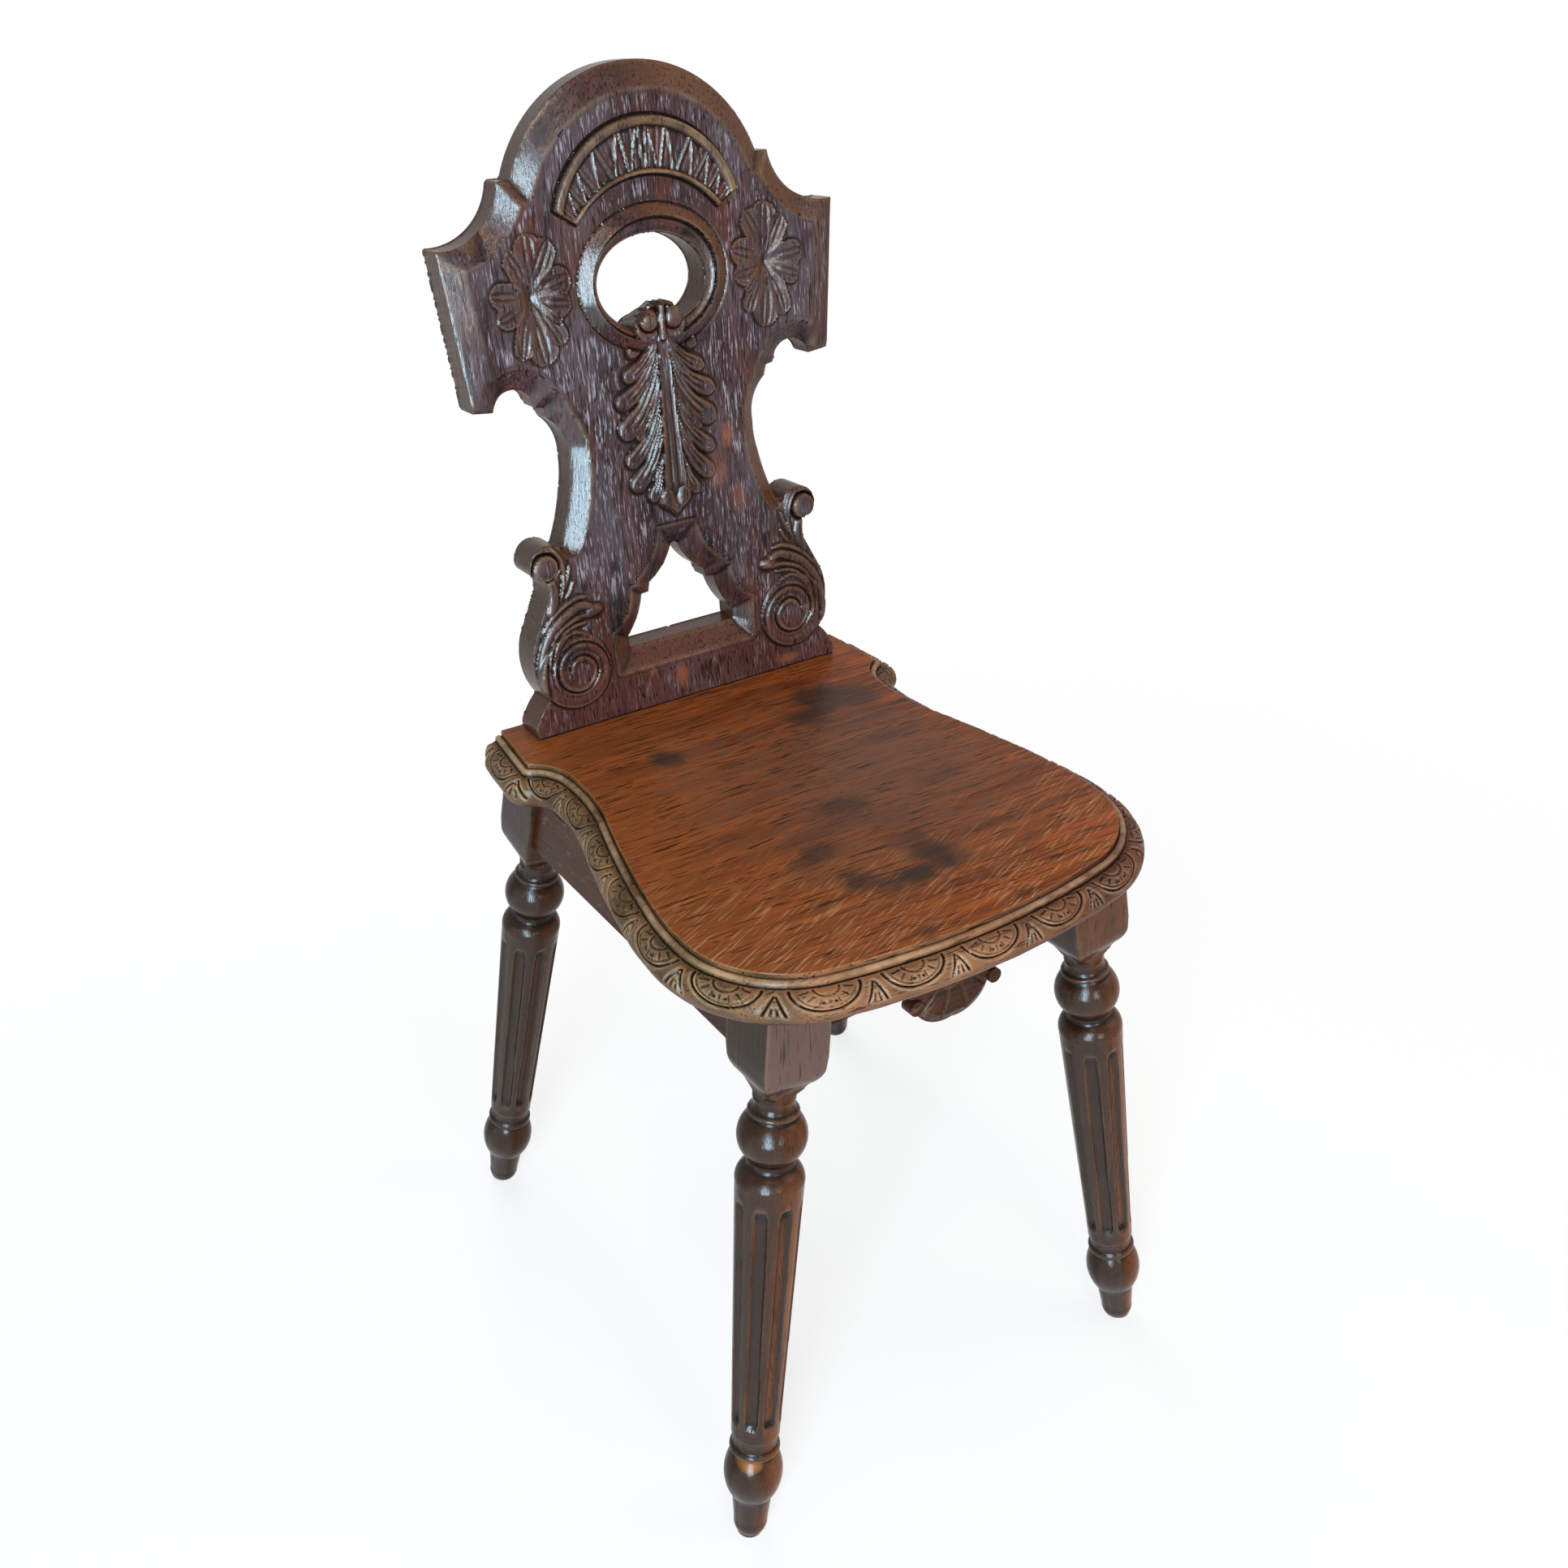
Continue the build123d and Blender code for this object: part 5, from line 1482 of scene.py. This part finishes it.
class CHAIR_PG_colours(bpy.types.PropertyGroup):
    """Tones of the stained oak."""
    back_dark: a_colour("Back, dark", "Darker tone of the back", (0.008, 0.005, 0.006))
    back_light: a_colour("Back, light", "Lighter tone of the back", (0.070, 0.030, 0.030))
    back_red: a_colour("Back, red", "Red patches of the back and its foot", (0.080, 0.022, 0.014))
    # Painted warm light on the back's bevels that face right and up
    back_painted_warm_light: a_colour(
        "Back, bevels", "Tone of the bevels at the right and the top", (0.095, 0.034, 0.014))
    # Painted sheen: the bluish streaks of reflected light on the back's flat face
    back_painted_sheen: a_colour("Back, sheen", "Bluish tone of the streaks of old polish", (0.300, 0.262, 0.300))
    # Painted reflection: the purple-grey haze on the back's flat face
    back_painted_reflection: a_colour("Back, haze", "Purple-grey tone of the back's hazy patches", (0.074, 0.050, 0.055))
    back_wall: a_colour("Back, edges", "Tone of the back's sawn edges and rear", (0.052, 0.024, 0.013))
    # Painted highlight: the bronze tone of the fan's roll and lip
    bronze: a_colour("Back, bronze", "Tone of the fan's roll and lip", (0.200, 0.120, 0.055))
    chip: a_colour("Back, chips", "Tone of the red chips", (0.210, 0.060, 0.030))
    seat_dark: a_colour("Seat, dark", "Darker tone of the seat", (0.070, 0.016, 0.005))
    seat_light: a_colour("Seat, light", "Lighter tone of the seat", (0.265, 0.066, 0.016))
    seat_warm: a_colour("Seat, warm", "Warmer tone at the seat's left", (0.205, 0.062, 0.020))
    seat_grey: a_colour("Seat, worn", "Browner tone of the worn middle", (0.120, 0.056, 0.034))
    ray: a_colour("Seat, rays", "Golden flecks of the oak's rays", (0.400, 0.190, 0.085))
    spill: a_colour("Seat, spills", "Tone of the dark spills", (0.026, 0.018, 0.014))
    rim_left: a_colour("Rim, left", "Tone of the rim at the left and the rear", (0.118, 0.060, 0.025))
    rim_front: a_colour("Rim, front", "Tone of the rim at the front", (0.235, 0.100, 0.046))
    rim_right: a_colour("Rim, right", "Tone of the rim at the right", (0.120, 0.038, 0.019))
    rim_rubbed: a_colour("Rim, rubbed", "Pale tone of the rim's rubbed edges", (0.480, 0.300, 0.180))
    # Also the tone of the painted shade on the legs' left sides, the blocks' left faces and the rear legs
    leg_dark: a_colour("Legs, dark", "Darker tone of the legs", (0.020, 0.007, 0.003))
    leg_light: a_colour("Legs, light", "Lighter tone of the legs", (0.060, 0.017, 0.006))
    # Painted warm light on the legs' sides that face right
    leg_painted_warm_light: a_colour("Legs, warm", "Warmer tone of the ridges", (0.180, 0.050, 0.013))
    # Painted light on the blocks' front faces
    block_painted_front_light: a_colour("Legs, blocks", "Tone of the blocks' front faces", (0.105, 0.056, 0.046))
    rail: a_colour("Seat, rear edge", "Plain tone of the seat's rear edge", (0.090, 0.040, 0.018))
    rubbed: a_colour("Rubbed edges", "Tone of the wood where the stain is rubbed away", (0.33, 0.21, 0.12))
    dirt: a_colour("Dirt", "Tone of the dirt in the cuts", (0.007, 0.004, 0.003))
    floor: a_colour("Floor", "Colour of the studio floor", (0.86, 0.86, 0.86))


def sizes():
    """The sizes that the panel shows."""
    return bpy.context.scene.hall_chair_sizes


def colours():
    """The tones that the panel shows."""
    return bpy.context.scene.hall_chair_colours


# Operators

class CHAIR_OT_back(bpy.types.Operator):
    """Carve the back board"""
    bl_idname = "hall_chair.back"
    bl_label = "Carved back"

    def execute(self, context):
        tones = colours()
        material = oak_material(
            "back_oak", (tones.back_dark, tones.back_light, tones.rubbed, tones.dirt),
            GRAIN_UP, back_ground, back_spots, pores=0.8, rays=0.0, wear=0.3, dirt=0.9,
            roughness=(0.2, 0.38), coat=0.9, bump=1.0,
        )
        bm = whole_back(sizes().board_cell / MM, sizes().arris / MM)
        finish_piece("carved_back_board", bm, material, ["back_board"], rounds=8, angle=40)
        return {"FINISHED"}


class CHAIR_OT_seat(bpy.types.Operator):
    """Shape the two seat boards and carve their rim"""
    bl_idname = "hall_chair.seat"
    bl_label = "Seat boards"

    def execute(self, context):
        tones = colours()
        seat_tones = (tones.seat_dark, tones.seat_light, tones.rim_rubbed, tones.dirt)
        whole = whole_seat(sizes().rim_spacing / MM, sizes().lunette_pitch / MM, sizes().lunette_depth)
        for front, name, shift in ((True, "seat_front_board", 0.0), (False, "seat_rear_board", 0.37)):
            material = oak_material(
                name, seat_tones, GRAIN_ACROSS, seat_ground, seat_spots, pores=0.8, rays=0.0, wear=1.0,
                dirt=1.1, roughness=(0.26, 0.4), coat=0.22, dull=0.02, gloss_level=0.04, bump=0.6,
                shift=(shift, 0.0, 0.0),
            )
            board = seat_half(whole, front)
            finish_piece(f"carved_{name}", board, material, [name], rounds=6, angle=45)
        whole.free()
        return {"FINISHED"}


class CHAIR_OT_legs(bpy.types.Operator):
    """Turn and flute the four legs"""
    bl_idname = "hall_chair.legs"
    bl_label = "Turned legs"

    def execute(self, context):
        tones = colours()
        leg_tones = (tones.leg_dark, tones.leg_light, tones.rubbed, tones.dirt)
        upright = turned_leg(sizes().leg_steps, sizes().flute_depth / MM)
        for row, leg in (("front", FRONT_LEG), ("rear", REAR_LEG)):
            for side, hand in ((-1, "left"), (1, "right")):
                name = f"{row}_{hand}_leg"
                material = oak_material(
                    name, leg_tones, GRAIN_UP, leg_ground, leg_spots, pores=0.6, rays=0.0, wear=0.15,
                    dirt=1.4, roughness=(0.2, 0.35), coat=0.35, gloss_level=0.1,
                    shift=(0.1 * side, 0.2, 0.0),
                )
                placed = standing_leg(upright, leg, side)
                finish_piece(f"turned_{name}", placed, material, [name], rounds=6, angle=50)
        upright.free()
        return {"FINISHED"}


class CHAIR_OT_underframe(bpy.types.Operator):
    """Finish the rails, the corner blocks, the dowels, the wedges and the screws"""
    bl_idname = "hall_chair.underframe"
    bl_label = "Rails and fixings"

    def execute(self, context):
        tones = colours()
        rail_tones = (tones.leg_dark, tones.leg_light, tones.rubbed, tones.dirt)
        pale_tones = ((0.05, 0.028, 0.016), (0.16, 0.095, 0.055), tones.rubbed, tones.dirt)
        across = oak_material("rail_oak_across", rail_tones, GRAIN_ACROSS, pores=0.6)
        lengthways = oak_material("rail_oak_lengthways", rail_tones, GRAIN_LENGTHWAYS, pores=0.6)
        inner = oak_material("inner_oak", pale_tones, GRAIN_UP, pores=0.5, coat=0.0, roughness=(0.6, 0.8))
        steel = steel_material()
        for name in ("front_rail", "rear_rail", "front_pendant"):
            coat_node(name, across)
        for name in ("left_rail", "right_rail"):
            coat_node(name, lengthways)
        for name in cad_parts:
            if name.startswith("corner_block") or name in ("seat_dowels", "back_wedges"):
                coat_node(name, inner)
        for name in ("seat_screws", "block_screws"):
            coat_node(name, steel)
        return {"FINISHED"}


def seen_rays(tree):
    """1 for the rays that show the background: from the camera, off gloss and through glass."""
    path = put(tree, "ShaderNodeLightPath")
    rays = sums(tree, "MAXIMUM", path.outputs["Is Camera Ray"], path.outputs["Is Glossy Ray"])
    return sums(tree, "MAXIMUM", rays, path.outputs["Is Transmission Ray"])


def make_floor(scene):
    """A pale floor that turns white away from the chair and keeps its shadow."""
    bm = bmesh.new()
    bmesh.ops.create_grid(bm, x_segments=1, y_segments=1, size=FLOOR_HALF)
    mesh = bpy.data.meshes.new("floor")
    bm.to_mesh(mesh)
    bm.free()
    floor = bpy.data.objects.new("floor", mesh)
    scene.collection.objects.link(floor)
    material, tree = new_material("floor")
    matt = put(tree, "ShaderNodeBsdfDiffuse", {"Color": tint(colours().floor)})
    glow = put(tree, "ShaderNodeEmission", {"Color": (1, 1, 1, 1), "Strength": 1.0})
    away = vector_length(tree, put(tree, "ShaderNodeTexCoord").outputs["Object"])
    share = product(tree, seen_rays(tree), masked(tree, away, 0.35, 1.3, 0.72, 1.0))
    mix = put(tree, "ShaderNodeMixShader", {0: share, 1: matt.outputs[0], 2: glow.outputs[0]})
    put(tree, "ShaderNodeOutputMaterial", {"Surface": mix.outputs[0]})
    mesh.materials.append(material)


def make_world(scene):
    """A white background that lights the chair only faintly."""
    world = bpy.data.worlds.new("studio")
    scene.world = world
    world.use_nodes = True
    tree = world.node_tree
    tree.nodes.clear()
    seen = put(tree, "ShaderNodeBackground", {"Color": (1, 1, 1, 1), "Strength": 1.0})
    fill = put(tree, "ShaderNodeBackground", {"Color": (0.88, 0.94, 1.0, 1), "Strength": FILL_STRENGTH})
    mix = put(tree, "ShaderNodeMixShader", {0: seen_rays(tree), 1: fill.outputs[0], 2: seen.outputs[0]})
    put(tree, "ShaderNodeOutputWorld", {"Surface": mix.outputs[0]})


def make_lamps(scene):
    """The studio's soft lamps, each turned to its target."""
    for name, where, target, size, watts, colour in LAMPS:
        data = bpy.data.lights.new(name, "AREA")
        data.shape = "RECTANGLE"
        data.size, data.size_y = size
        data.energy = watts
        data.color = colour
        lamp = bpy.data.objects.new(name, data)
        lamp.location = where
        aim = Vector(target) - Vector(where)
        lamp.rotation_euler = aim.to_track_quat("-Z", "Y").to_euler()
        lamp.visible_glossy = name not in UNSEEN_IN_GLOSS
        scene.collection.objects.link(lamp)


def make_camera(scene):
    """The camera at the photograph's place and angle."""
    data = bpy.data.cameras.new("camera")
    data.sensor_width = SENSOR_WIDTH
    data.lens = LENS
    camera = bpy.data.objects.new("camera", data)
    turn = Matrix.Rotation(math.radians(CAMERA_TURN), 4, "Z")
    tilt = Matrix.Rotation(math.radians(90 - CAMERA_DOWN), 4, "X")
    roll = Matrix.Rotation(math.radians(CAMERA_ROLL), 4, "Z")
    camera.matrix_world = Matrix.Translation(CAMERA_PLACE) @ turn @ tilt @ roll
    scene.collection.objects.link(camera)
    scene.camera = camera


class CHAIR_OT_stage(bpy.types.Operator):
    """Make the floor, the soft lights, the background and the camera"""
    bl_idname = "hall_chair.stage"
    bl_label = "Studio"

    def execute(self, context):
        scene = context.scene
        scene.view_settings.view_transform = "Standard"
        for make in (make_floor, make_world, make_lamps, make_camera):
            make(scene)
        return {"FINISHED"}


class CHAIR_PT_panel(bpy.types.Panel):
    """Builds the chair piece by piece"""
    bl_idname = "CHAIR_PT_panel"
    bl_label = "Hall chair"
    bl_space_type = "VIEW_3D"
    bl_region_type = "UI"
    bl_category = "Hall chair"

    def draw(self, context):
        column = self.layout.column()
        for group in (context.scene.hall_chair_sizes, context.scene.hall_chair_colours):
            for name in group.bl_rna.properties.keys():
                if name not in ("rna_type", "name"):
                    column.prop(group, name)
        for operator in OPERATORS:
            column.operator(operator.bl_idname)


OPERATORS = (CHAIR_OT_stage, CHAIR_OT_back, CHAIR_OT_seat, CHAIR_OT_legs, CHAIR_OT_underframe)
CLASSES = (CHAIR_PG_sizes, CHAIR_PG_colours, *OPERATORS, CHAIR_PT_panel)


def register():
    """Make the chair's settings, operators and panel known."""
    for kind in CLASSES:
        bpy.utils.register_class(kind)
    bpy.types.Scene.hall_chair_sizes = PointerProperty(type=CHAIR_PG_sizes)
    bpy.types.Scene.hall_chair_colours = PointerProperty(type=CHAIR_PG_colours)


def unregister():
    """Take them away again."""
    del bpy.types.Scene.hall_chair_colours
    del bpy.types.Scene.hall_chair_sizes
    for kind in reversed(CLASSES):
        bpy.utils.unregister_class(kind)


def main():
    """Build the stage and the chair."""
    register()
    bpy.ops.hall_chair.stage()
    bpy.ops.hall_chair.back()
    bpy.ops.hall_chair.seat()
    bpy.ops.hall_chair.legs()
    bpy.ops.hall_chair.underframe()


if __name__ == "__main__":
    main()
